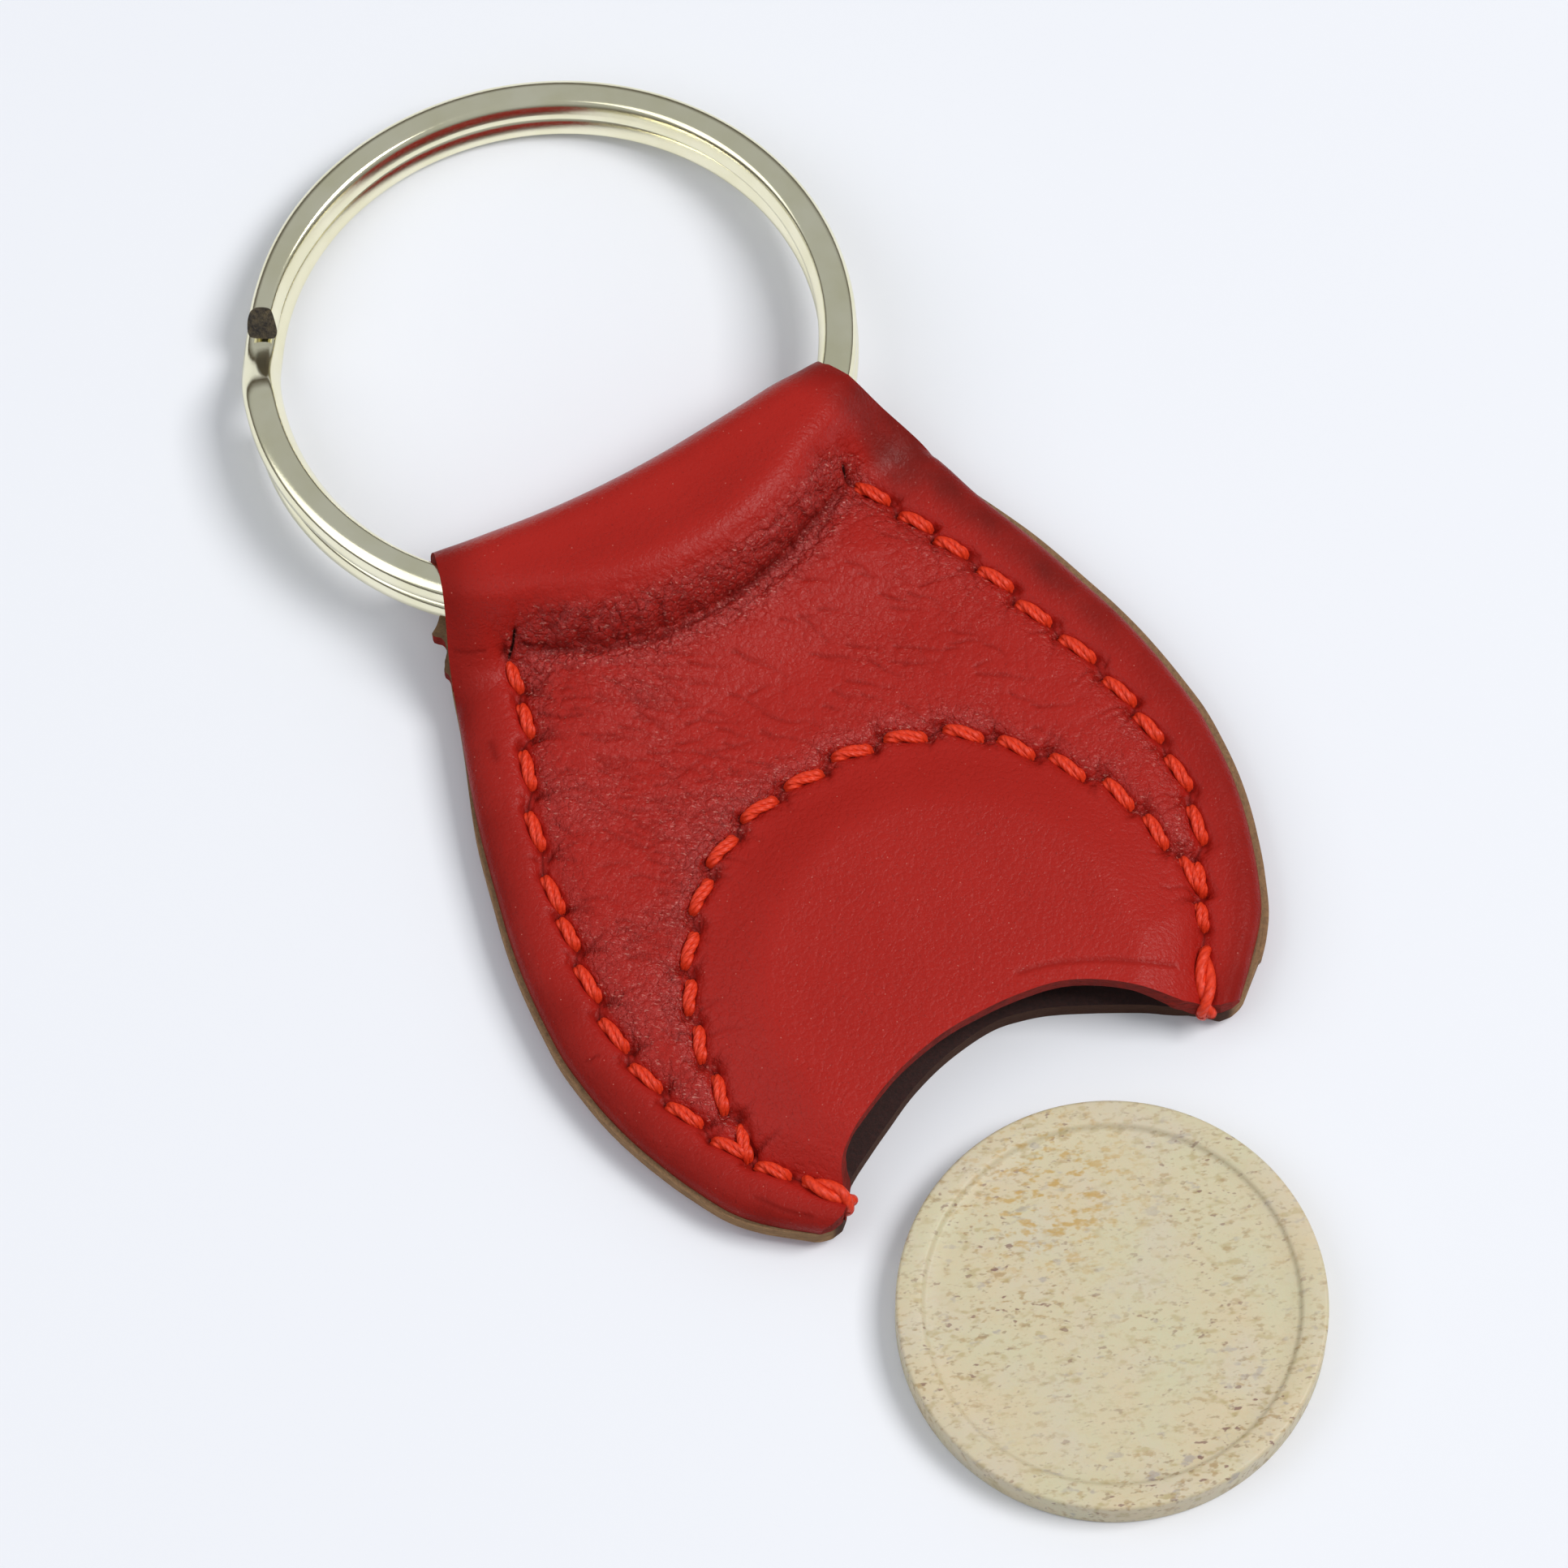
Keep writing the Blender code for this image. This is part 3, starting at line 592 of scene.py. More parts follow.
def resample(path, count):
    """Equal steps along each lane of (lanes, points, 3)."""
    step = np.linalg.norm(np.diff(path, axis=1), axis=2)
    run = np.concatenate([np.zeros((len(path), 1)), np.cumsum(step, axis=1)], axis=1)
    out = np.empty((len(path), count, 3))
    for lane in range(len(path)):
        places = np.linspace(0, run[lane, -1], count)
        for axis in range(3):
            out[lane, :, axis] = np.interp(places, run[lane], path[lane, :, axis])
    return out


def grid_normals(grid):
    along = np.gradient(grid, axis=1)
    across = np.gradient(grid, axis=0)
    normal = np.cross(across, along)
    length = np.linalg.norm(normal, axis=2, keepdims=True)
    return normal / np.maximum(length, 1e-9)


def lane_shares(count):
    """Lanes across a hide as a column, a little closer together at its edges."""
    even = np.linspace(-1, 1, count)[:, None]
    return 0.85 * even + 0.15 * np.sin(even * math.pi / 2)


def relaxed(top, rounds=90):
    """Softens the hump and its wall, as hide does, without moving the sewn part."""
    z = top[..., 2].copy()
    free = 0.5 * smooth((crease_x(top[..., 1]) + 0.5 - top[..., 0]) / 0.8)
    for _ in range(rounds):
        padded = np.pad(z, 1, mode="reflect", reflect_type="odd")
        mean = (padded[:-2, 1:-1] + padded[2:, 1:-1] + padded[1:-1, :-2] + padded[1:-1, 2:]) / 4
        z = z + free * (mean - z)
    return z


def tail_spread(share, x):
    """Ragged scraps of the loop's lower layer that stick out on the -Y side."""
    scrap = 0.62 * bell(x - 2.9, 0.75) + 0.40 * bell(x - 5.0, 0.45)
    rough = 1 + 0.6 * layered(x, x * 0.3, 0.5, 77)
    return scrap * rough * smooth((-share - 0.93) / 0.06)


def front_grain():
    """Grain side of the hide in one sheet: mouth, dome, crease, hump, fold, underside."""
    share = lane_shares(FRONT_LANES)
    end = lane_end(share, half_width, FRONT_MOUTH)
    turn_x = fold_x(share * half_width(0.0, share)) + FOLD_ROUND
    x = end + (turn_x - end) * np.linspace(0, 1, DENSE_ROWS)
    y = share * half_width(x, share)
    top = resample(np.stack([x, y, top_height(x, y)], axis=2), TOP_ROWS)
    top[..., 2] = relaxed(top)
    # The fold's nose is a squarish round, its upper part taller than its lower.
    top_z = top[:, -1:, 2]
    middle_z = LOOP_UNDERSIDE + 0.42 * (top_z - LOOP_UNDERSIDE)
    angle = np.linspace(0, math.pi, FOLD_ROWS + 2)[1:-1]
    x = turn_x - FOLD_ROUND * np.sin(angle) ** 0.9
    tall = np.where(angle < math.pi / 2, top_z - middle_z, middle_z - LOOP_UNDERSIDE)
    z = middle_z + tall * np.sign(np.cos(angle)) * np.abs(np.cos(angle)) ** 0.9
    y = share * half_width(np.maximum(x, 0.0), share)
    fold = np.stack([x, y, z], axis=2)
    # Underneath it runs back to its tail, which is longer in the middle.
    tail = 6.2 + 3.0 * smooth((0.72 - np.abs(share)) / 0.1)
    x = turn_x + (tail - turn_x) * np.linspace(0, 1, UNDER_ROWS)
    y = share * (half_width(x, share) + tail_spread(share, x))
    z = LOOP_UNDERSIDE + 0.22 * smooth((x - 2.5) / 2.2)
    under = np.stack([x, y, z], axis=2)
    return np.concatenate([top, fold, under], axis=1)


def front_flesh(grain):
    """The flesh side: thinner round the loop, and down on the back hide along the margins."""
    x = grain[..., 0]
    on_top = np.arange(grain.shape[1])[None, :] < TOP_ROWS
    on_loop = np.maximum(smooth((9.0 - x) / 1.5), np.where(on_top, 0.0, 1.0))
    thick = FRONT_THICK + (LOOP_THICK - FRONT_THICK) * on_loop
    flesh = grain - grid_normals(grain) * thick[..., None]
    sewn = smooth((x - 6.0) / 1.2) * on_top
    rim = smooth((np.abs(lane_shares(FRONT_LANES)) - 0.84) / 0.08) * sewn
    flesh[..., :2] += (grain[..., :2] - flesh[..., :2]) * rim[..., None]
    flesh[..., 2] = np.where(sewn > 0, np.maximum(flesh[..., 2], FRONT_FLOOR * sewn), flesh[..., 2])
    flesh[..., 2] += (FRONT_FLOOR - flesh[..., 2]) * rim
    return flesh


def closed_sheet(name, grain, flesh, finishes):
    """One closed piece from two matching grids. finishes: grain, flesh and cut edge materials."""
    lanes, rows = grain.shape[:2]
    count = lanes * rows
    points = np.concatenate([grain.reshape(-1, 3), flesh.reshape(-1, 3)])
    index = np.arange(count).reshape(lanes, rows)
    a, b = index[:-1, :-1].ravel(), index[1:, :-1].ravel()
    c, d = index[1:, 1:].ravel(), index[:-1, 1:].ravel()
    outer = np.stack([a, b, c, d], axis=1)
    inner = np.stack([d, c, b, a], axis=1) + count
    rim = np.concatenate([index[:, 0], index[-1, 1:], index[-2::-1, -1], index[0, -2:0:-1]])
    after = np.roll(rim, -1)
    sides = np.stack([after, rim, rim + count, after + count], axis=1)
    faces = np.concatenate([outer, inner, sides])
    slots = np.repeat((0, 1, 2), (len(outer), len(inner), len(sides)))
    return new_piece(name, points, faces.tolist(), finishes, HIDE_SHARP, slots.astype(np.int32))


def new_piece(name, points, faces, finishes, sharp, slots=None):
    """An object from points in millimetres, smooth up to the sharp angle in degrees."""
    mesh = bpy.data.meshes.new(name)
    mesh.from_pydata(to_world(points).tolist(), [], faces)
    for finish in finishes:
        mesh.materials.append(finish)
    if slots is not None:
        mesh.polygons.foreach_set("material_index", slots)
    mesh.shade_smooth()
    mesh.set_sharp_from_angle(angle=math.radians(sharp))
    store(mesh, "rest", points)
    return placed(name, mesh)


def placed(name, data):
    made = bpy.data.objects.new(name, data)
    bpy.context.scene.collection.objects.link(made)
    return made


def store(mesh, name, values):
    """Keeps a value per point for the materials: a place in millimetres, or one number."""
    values = np.asarray(values, np.float32)
    if values.ndim == 2:
        attribute = mesh.attributes.new(name, "FLOAT_VECTOR", "POINT")
        attribute.data.foreach_set("vector", values.ravel())
    else:
        attribute = mesh.attributes.new(name, "FLOAT", "POINT")
        attribute.data.foreach_set("value", values)


def store_sides(piece, **values):
    """Keeps each value for a grain point and for the flesh point under it."""
    for name, value in values.items():
        store(piece.data, name, np.tile(value.ravel(), 2))


# Materials.
BLACK = (0, 0, 0, 1)
WHITE = (1, 1, 1, 1)
RED = (0.362, 0.0128, 0.0082, 1)
RED_SOFT = (0.385, 0.0150, 0.0100, 1)
# Deep red: the pores' own colour, and painted shade in creases and cracks.
RED_DEEP = (0.105, 0.0052, 0.0045, 1)
RED_EDGE = (0.205, 0.0122, 0.0096, 1)
# Painted shade at the bottom of creases, holes and slits.
SHADE_BLACK = (0.008, 0.004, 0.003, 1)
# Painted highlight: the pale pink of glints on the grain.
GLINT_PINK = (0.62, 0.22, 0.18, 1)
# Dark brown for handling dirt on the front hide, and painted shade at the back hide's mouth.
GRIME_AND_SHADE = (0.040, 0.0105, 0.0085, 1)
CUT_RED = (0.36, 0.022, 0.014, 1)
CUT_RED_DARK = (0.13, 0.013, 0.009, 1)
TAN = (0.44, 0.255, 0.12, 1)
TAN_DARK = (0.24, 0.135, 0.066, 1)
# Flesh side colours, darkened almost to black as painted shade inside the pocket.
SUEDE_IN_SHADE = (0.016, 0.0045, 0.0035, 1)
NAP_IN_SHADE = (0.065, 0.015, 0.011, 1)
THREAD = (0.64, 0.031, 0.009, 1)
THREAD_LIGHT = (0.86, 0.058, 0.015, 1)
# Painted shade for the grooves between the thread's fibres.
THREAD_SHADE = (0.42, 0.012, 0.005, 1)
NICKEL = (0.94, 0.90, 0.68, 1)
NICKEL_WARM = (0.86, 0.82, 0.57, 1)
RESIDUE = (0.12, 0.09, 0.045, 1)
RESIDUE_DARK = (0.012, 0.008, 0.005, 1)
TOKEN_CREAM = (0.615, 0.52, 0.345, 1)
TOKEN_OLIVE = (0.585, 0.540, 0.360, 1)
TOKEN_LILAC = (0.595, 0.525, 0.405, 1)
PAPER = (0.835, 0.855, 0.905, 1)
# The token's flecks: scale, offset, ramp from and to, share, colour, and if they crowd on one side.
FLECKS = (
    (1.3, 3, 0.56, 0.69, 0.70, (0.40, 0.31, 0.13, 1), False),
    (1.9, 7, 0.58, 0.69, 0.72, (0.38, 0.25, 0.11, 1), False),
    (2.2, 11, 0.60, 0.70, 0.70, (0.30, 0.21, 0.12, 1), False),
    (1.2, 13, 0.63, 0.71, 0.55, (0.30, 0.265, 0.28, 1), False),
    (1.7, 19, 0.65, 0.71, 0.85, (0.20, 0.10, 0.08, 1), False),
    (1.8, 29, 0.52, 0.66, 0.85, (0.50, 0.31, 0.08, 1), True),
)


def grey(value):
    return (value, value, value, 1)


def new_material(name):
    made = bpy.data.materials.new(name)
    made.use_nodes = True
    return made, made.node_tree, made.node_tree.nodes["Principled BSDF"]


def node(tree, kind, **settings):
    made = tree.nodes.new(kind)
    for key, value in settings.items():
        if key in made.inputs.keys():
            made.inputs[key].default_value = value
        else:
            setattr(made, key, value)
    return made


def feed(tree, made, values):
    """Fills a node's inputs, by number, from sockets or with constants."""
    for number, value in values:
        if isinstance(value, bpy.types.NodeSocket):
            tree.links.new(value, made.inputs[number])
        else:
            made.inputs[number].default_value = value
    return made


def attribute(tree, name, output="Fac"):
    return node(tree, "ShaderNodeAttribute", attribute_name=name).outputs[output]


def texture(tree, kind, place, output, **settings):
    made = node(tree, kind, **settings)
    tree.links.new(place, made.inputs["Vector"])
    return made.outputs[output]


def clouds(tree, place, scale, detail, roughness=0.5):
    return texture(tree, "ShaderNodeTexNoise", place, "Fac", Scale=scale, Detail=detail, Roughness=roughness)


def cells(tree, place, scale, feature="F1"):
    return texture(tree, "ShaderNodeTexVoronoi", place, "Distance", Scale=scale, feature=feature)


def mapped(tree, place, scale, turn=0.0, kind="TEXTURE"):
    """A place turned round Z and stretched."""
    turned = (0.0, 0.0, turn)
    return texture(tree, "ShaderNodeMapping", place, "Vector", vector_type=kind, Rotation=turned, Scale=scale)


def ramp(tree, value, low, high, low_colour=BLACK, high_colour=WHITE):
    made = node(tree, "ShaderNodeValToRGB")
    made.color_ramp.elements[0].position = low
    made.color_ramp.elements[0].color = low_colour
    made.color_ramp.elements[1].position = high
    made.color_ramp.elements[1].color = high_colour
    tree.links.new(value, made.inputs["Fac"])
    return made.outputs["Color"]


def mix(tree, share, first, second, blend="MIX"):
    """Colour mix; a side is a socket or a colour, and the share a socket or a number."""
    made = node(tree, "ShaderNodeMix", data_type="RGBA", blend_type=blend)
    return feed(tree, made, ((0, share), (6, first), (7, second))).outputs[2]


def coated(tree, colour, coats):
    """Lays rows of share and colour over a first colour."""
    for share, coat in coats:
        colour = mix(tree, share, colour, coat)
    return colour


def math_node(tree, operation, first, second=0.0):
    made = node(tree, "ShaderNodeMath", operation=operation)
    return feed(tree, made, enumerate((first, second))).outputs[0]


def times(tree, first, second):
    return math_node(tree, "MULTIPLY", first, second)


def one_less(tree, value):
    """One minus the value."""
    return math_node(tree, "SUBTRACT", 1.0, value)


def vector_node(tree, operation, first, second, output="Vector"):
    made = node(tree, "ShaderNodeVectorMath", operation=operation)
    return feed(tree, made, enumerate((first, second))).outputs[output]


def bumps(tree, shader, layers):
    """Bumps on one another: rows of height, strength and distance in metres, the lowest first."""
    normal = None
    for height, strength, distance in layers:
        made = node(tree, "ShaderNodeBump", Strength=strength, Distance=distance)
        tree.links.new(height, made.inputs["Height"])
        if normal is not None:
            tree.links.new(normal, made.inputs["Normal"])
        normal = made.outputs["Normal"]
    tree.links.new(normal, shader.inputs["Normal"])


def leather_grain(name, grime_shade_share=1.0):
    """Semi-matte red grain: colour clouds, pores, crinkles where the hide is pulled, painted shade in creases
    and cracks, painted glints, and a dark coat that is handling dirt on the front hide and painted shade at
    the back hide's mouth.
    """
    made, tree, shader = new_material(name)
    rest = attribute(tree, "rest", "Vector")
    crease = attribute(tree, "crease")
    crinkle = attribute(tree, "crinkle")
    edge = times(tree, attribute(tree, "worn"), 0.90)
    cloud = clouds(tree, rest, 0.16, 4.0, 0.6)
    mottle = clouds(tree, rest, 1.3, 6.0, 0.72)
    pores = clouds(tree, rest, 6.5, 3.0, 0.6)
    # Painted highlight: tiny pale glints scattered over the grain.
    glint_dots = ramp(tree, cells(tree, rest, 1.6), 0.035, 0.075, WHITE, BLACK)
    # Painted shade: cracks between the pillows are darkened where the hide is crinkled.
    bend = mix(tree, 0.16, rest, mottle.node.outputs["Color"], "LINEAR_LIGHT")
    large = cells(tree, bend, 1.9, "DISTANCE_TO_EDGE")
    small = cells(tree, bend, 4.3, "DISTANCE_TO_EDGE")
    crack_shade = times(tree, ramp(tree, large, 0.01, 0.10, WHITE, BLACK), ramp(tree, crinkle, 0.45, 1.0))
    # Painted highlight: short pale glints along the wrinkles.
    glint_noise = clouds(tree, mapped(tree, rest, (1.0, 0.36, 1.0), CAMERA_TURN - 0.16), 3.2, 2.0, 0.6)
    painted_glints = times(tree, ramp(tree, glint_noise, 0.62, 0.69), ramp(tree, crinkle, 0.30, 0.70))
    colour = coated(tree, RED, (
        (ramp(tree, cloud, 0.35, 0.7), RED_SOFT),
        (edge, RED_EDGE),
        (times(tree, ramp(tree, pores, 0.62, 0.72), 0.40), RED_DEEP),
        # Painted highlight: tiny pale glints.
        (times(tree, glint_dots, 0.55), GLINT_PINK),
        # Painted shade in the creases, holes, slits and seams' groove, with a few real scratches and marks.
        (times(tree, crease, 0.92), RED_DEEP),
        (ramp(tree, crease, 0.60, 0.95), SHADE_BLACK),
        (times(tree, crack_shade, 0.14), RED_DEEP),
        # Painted highlight: pale glints along the wrinkles.
        (times(tree, painted_glints, 0.72), GLINT_PINK),
        # Handling dirt on the front hide, painted shade at the back hide's mouth.
        (times(tree, attribute(tree, "stain"), grime_shade_share), GRIME_AND_SHADE),
    ))
    tree.links.new(colour, shader.inputs["Base Color"])
    rough = ramp(tree, mottle, 0.3, 0.75, grey(0.24), grey(0.36))
    tree.links.new(rough, shader.inputs["Roughness"])
    shine = ramp(tree, crinkle, 0.45, 1.0, grey(0.17), grey(0.50))
    clean = times(tree, one_less(tree, crease), one_less(tree, edge))
    tree.links.new(times(tree, shine, clean), shader.inputs["Specular IOR Level"])
    # Pillows between fine cracks, then the pebble on them, then the pores.
    pillow = math_node(tree, "POWER", ramp(tree, large, 0.0, 0.40), 0.6)
    fine = math_node(tree, "POWER", ramp(tree, small, 0.0, 0.40), 0.7)
    bumps(tree, shader, (
        (times(tree, pillow, crinkle), 0.9, 0.00009),
        (times(tree, fine, crinkle), 0.7, 0.00005),
        (times(tree, mottle, crinkle), 0.9, 0.00013),
        (pores, 0.5, 0.00006),
    ))
    return made


def cut_edge(name, light, dark):
    """Fibrous cut edge, in layers along the thickness; dark brown where the mask is set: handling dirt on the
    front hide's +Y margin, painted shade along the back hide's mouth.
    """
    made, tree, shader = new_material(name)
    rest = attribute(tree, "rest", "Vector")
    fibres = clouds(tree, mapped(tree, rest, (1.2, 1.2, 5.0), kind="POINT"), 1.4, 8.0, 0.75)
    blotch = clouds(tree, rest, 0.5, 3.0)
    colour = coated(tree, dark, (
        (ramp(tree, fibres, 0.35, 0.60), light),
        (ramp(tree, blotch, 0.50, 0.80), dark),
        (attribute(tree, "stain"), GRIME_AND_SHADE),
    ))
    tree.links.new(colour, shader.inputs["Base Color"])
    shader.inputs["Roughness"].default_value = 0.8
    shader.inputs["Specular IOR Level"].default_value = 0.12
    bumps(tree, shader, ((fibres, 0.8, 0.00022),))
    return made


def suede(name):
    """Flesh side with a short nap, its own dark red-brown darkened almost to black as painted shade inside
    the pocket; bare and tan where it is worn.
    """
    made, tree, shader = new_material(name)
    nap = clouds(tree, attribute(tree, "rest", "Vector"), 4.0, 8.0, 0.8)
    colour = mix(tree, ramp(tree, nap, 0.3, 0.7), SUEDE_IN_SHADE, NAP_IN_SHADE)
    bare = mix(tree, ramp(tree, nap, 0.35, 0.65), TAN_DARK, TAN)
    colour = mix(tree, attribute(tree, "worn"), colour, bare)
    tree.links.new(colour, shader.inputs["Base Color"])
    shader.inputs["Roughness"].default_value = 0.95
    shader.inputs["Sheen Weight"].default_value = 0.10
    bumps(tree, shader, ((nap, 0.8, 0.00025),))
    return made


def thread_material():
    """Twisted orange-red thread: fine fibres run slantwise round each ply."""
    made, tree, shader = new_material("thread")
    fibre = math_node(tree, "SINE", times(tree, attribute(tree, "run"), math.tau * 5))
    fuzz = clouds(tree, attribute(tree, "rest", "Vector"), 6.0, 5.0)
    colour = mix(tree, ramp(tree, fuzz, 0.3, 0.7), THREAD, THREAD_LIGHT)
    # Painted shade: the grooves between the fibres are darkened towards the shaded thread colour.
    shade = times(tree, ramp(tree, fibre, 0.0, 1.0, WHITE, BLACK), 0.22)
    tree.links.new(mix(tree, shade, colour, THREAD_SHADE), shader.inputs["Base Color"])
    shader.inputs["Roughness"].default_value = 0.45
    shader.inputs["Specular IOR Level"].default_value = 0.3
    bumps(tree, shader, ((fibre, 0.45, 0.00003), (fuzz, 0.45, 0.00006)))
    return made


def nickel_material():
    """Polished nickel with a warm film; its sheared ends are dark and rough."""
    made, tree, shader = new_material("nickel")
    rest = attribute(tree, "rest", "Vector")
    stain = attribute(tree, "stain")
    film = clouds(tree, rest, 0.35, 3.0)
    scratch = clouds(tree, rest, 6.0, 6.0, 0.75)
    residue = clouds(tree, rest, 2.2, 5.0, 0.7)
    colour = mix(tree, ramp(tree, film, 0.35, 0.7), NICKEL, NICKEL_WARM)
    dark = mix(tree, ramp(tree, residue, 0.40, 0.68), RESIDUE_DARK, RESIDUE)
    tree.links.new(mix(tree, stain, colour, dark), shader.inputs["Base Color"])
    tree.links.new(one_less(tree, stain), shader.inputs["Metallic"])
    rough = ramp(tree, scratch, 0.35, 0.75, grey(0.10), grey(0.20))
    tree.links.new(mix(tree, stain, rough, grey(0.6)), shader.inputs["Roughness"])
    bumps(tree, shader, ((scratch, 0.10, 0.00003), (times(tree, residue, stain), 0.9, 0.0003)))
    return made


def token_material():
    """Speckled plastic; its golden flecks crowd on the side that faces the pouch."""
    made, tree, shader = new_material("token_plastic")
    rest = attribute(tree, "rest", "Vector")
    stretched = mapped(tree, rest, (1.30, 0.72, 1.4), CAMERA_TURN + 0.12)
    base = clouds(tree, rest, 0.22, 4.0)
    colour = mix(tree, ramp(tree, base, 0.35, 0.65), TOKEN_CREAM, TOKEN_OLIVE)
    lilac = ramp(tree, clouds(tree, rest, 0.34, 5.0), 0.48, 0.66)
    colour = mix(tree, times(tree, lilac, 0.60), colour, TOKEN_LILAC)
    busy = ramp(tree, clouds(tree, rest, 0.13, 2.0), 0.38, 0.62, grey(0.45), WHITE)
    x, y, z = TOKEN_MIDDLE
    reach = vector_node(tree, "DISTANCE", rest, (x - 7.1, y + 0.5, z), "Value")
    one_side = ramp(tree, times(tree, reach, 0.1), 0.20, 0.62, WHITE, grey(0.10))
    for scale, offset, low, high, share, fleck, crowded in FLECKS:
        moved = vector_node(tree, "ADD", stretched, (offset * 5.0, offset * 3.0, 0.0))
        spots = times(tree, ramp(tree, clouds(tree, moved, scale, 2.0, 0.6), low, high), share)
        colour = mix(tree, times(tree, spots, one_side if crowded else busy), colour, fleck)
    tree.links.new(colour, shader.inputs["Base Color"])
    shader.inputs["Roughness"].default_value = 0.48
    shader.inputs["Subsurface Weight"].default_value = 0.05
    shader.inputs["Subsurface Scale"].default_value = 0.001
    bumps(tree, shader, ((clouds(tree, rest, 5.0, 4.0), 0.18, 0.00008),))
    return made


# Pieces.
def make_front_hide(materials):
    grain = front_grain()
    x, y = grain[..., 0], grain[..., 1]
    shift, crease, crinkle = wrinkles(x, y)
    fade = smooth((TOP_ROWS - np.arange(grain.shape[1])) / 16.0)
    shift = shift * fade
    grain = grain + grid_normals(grain) * shift[..., None]
    calm = grain - grid_normals(grain) * (0.5 * shift)[..., None]
    piece = closed_sheet("front_hide", grain, front_flesh(calm), materials)
    edge = edge_inset(np.maximum(x, 0.0), y)
    rubbed = smooth((3.4 - edge) / 3.0) * (0.75 + 0.35 * layered(x, y, 2.6, 79))
    store_sides(
        piece,
        # Painted shade in the creases, holes, slits and seams' groove, with a few real scratches and marks.
        crease=np.clip(crease * fade, 0, 1),
        crinkle=np.maximum(crinkle * fade, 0.12),
        stain=front_stain(x, y, edge) * fade,
        worn=rubbed,
    )
    return piece


def front_stain(x, y, edge):
    """The dark handling stain on the +Y margin near the ring, and a streak along that margin."""
    patch = smooth((y - 11.3) / 1.6) * smooth((x - 0.5) / 2.0) * smooth((11.0 - x) / 4.0)
    patchy = 0.55 + 0.45 * layered(x, y, 1.6, 83)
    streak = bell(edge - 1.3, 0.95) * smooth(y / 4.0) * smooth((x - 1.5) / 3.0) * smooth((25.0 - x) / 9.0)
    return np.maximum(0.75 * patch, 0.62 * streak) * np.clip(patchy, 0, 1)


def back_width(x, side):
    over = BACK_OVERHANG * (0.35 + 0.65 * smooth((x - 8.0) / 8.0))
    return half_width(x, 0.0) + over - np.where(np.asarray(side) > 0, 0.0, 0.14)


def back_rise(x, y):
    """1 on the margins, 0 under the pocket."""
    return 1 - smooth(pocket_inset(x, y) / BACK_SLOPE)


def back_top(x, y):
    return MARGIN_LIFT * back_rise(x, y) + BACK_THICK


def back_underside(x, y):
    rise = back_rise(x, y)
    valley = 0.25 * bell(np.minimum(*seam_distances(x, y)), 0.5)
    edge = back_width(x, y) - np.abs(y)
    return MARGIN_LIFT * rise + valley * rise + 0.35 * round_over(edge, 0.9)


def make_back_hide(materials):
    share = lane_shares(BACK_LANES)
    end = lane_end(share, back_width, notch_table(BACK_NOTCH_PIXELS, back_top))
    x = end + (BACK_REAR - end) * np.linspace(0, 1, BACK_ROWS)
    y = share * back_width(x, share)
    under = back_underside(x, y)
    swell = 0.02 * layered(x, y, 1.1, 91) * smooth((under - 0.05) / 0.3)
    grain = np.stack([x, y, under + swell], axis=2)
    nap = 0.03 * layered(x, y, 0.8, 95) * smooth(pocket_inset(x, y) / 0.6)
    flesh = np.stack([x, y, back_top(x, y) + nap - 0.01], axis=2)
    piece = closed_sheet("back_hide", grain[::-1], flesh[::-1], materials)
    edge = back_width(x, y) - np.abs(y)
    # Painted shade: a dark band along the back hide's cut end at the mouth, where the tan wear is left out.
    mouth_shade = smooth((1.2 - (end - x)) / 0.8) * smooth((0.96 - np.abs(share)) / 0.05)
    worn = smooth((0.9 - edge) / 0.4) * (1 - mouth_shade)
    store_sides(
        piece,
        crease=np.zeros(x.shape),
        crinkle=np.full(x.shape, 0.3),
        # The back hide's dark mask is painted shade at the mouth, not dirt.
        stain=0.9 * mouth_shade[::-1],
        worn=worn[::-1],
    )
    return piece


def tube_faces(rows, sides):
    """Quads between rings of points, one ring after another."""
    faces = []
    for row in range(rows - 1):
        for k in range(sides):
            a, b = row * sides + k, row * sides + (k + 1) % sides
            faces.append((a, b, b + sides, a + sides))
    return faces


def tube(points, radius, sides):
    """Points and faces of a tube along a line of points; the radius may vary."""
    points = np.asarray(points, float)
    radius = np.broadcast_to(radius, len(points))
    forward = np.gradient(points, axis=0)
    forward /= np.linalg.norm(forward, axis=1, keepdims=True)
    side = np.cross(forward, (0.0, 0.0, 1.0))
    side /= np.maximum(np.linalg.norm(side, axis=1, keepdims=True), 1e-9)
    up = np.cross(side, forward)
    angle = np.linspace(0, math.tau, sides, endpoint=False)
    ring = side[:, None] * np.cos(angle)[None, :, None] + up[:, None] * np.sin(angle)[None, :, None]
    verts = (points[:, None] + ring * radius[:, None, None]).reshape(-1, 3)
    faces = tube_faces(len(points), sides)
    faces.append(tuple(range(sides - 1, -1, -1)))
    last = (len(points) - 1) * sides
    faces.append(tuple(range(last, last + sides)))
    return verts, faces


def merged(name, parts, finish):
    """One object from several (points, faces, run) parts, in millimetres."""
    faces, start = [], 0
    for points, part_faces, _ in parts:
        faces += [tuple(i + start for i in face) for face in part_faces]
        start += len(points)
    piece = new_piece(name, np.concatenate([part[0] for part in parts]), faces, [finish], PART_SHARP)
    store(piece.data, "run", np.concatenate([part[2] for part in parts]))
    return piece


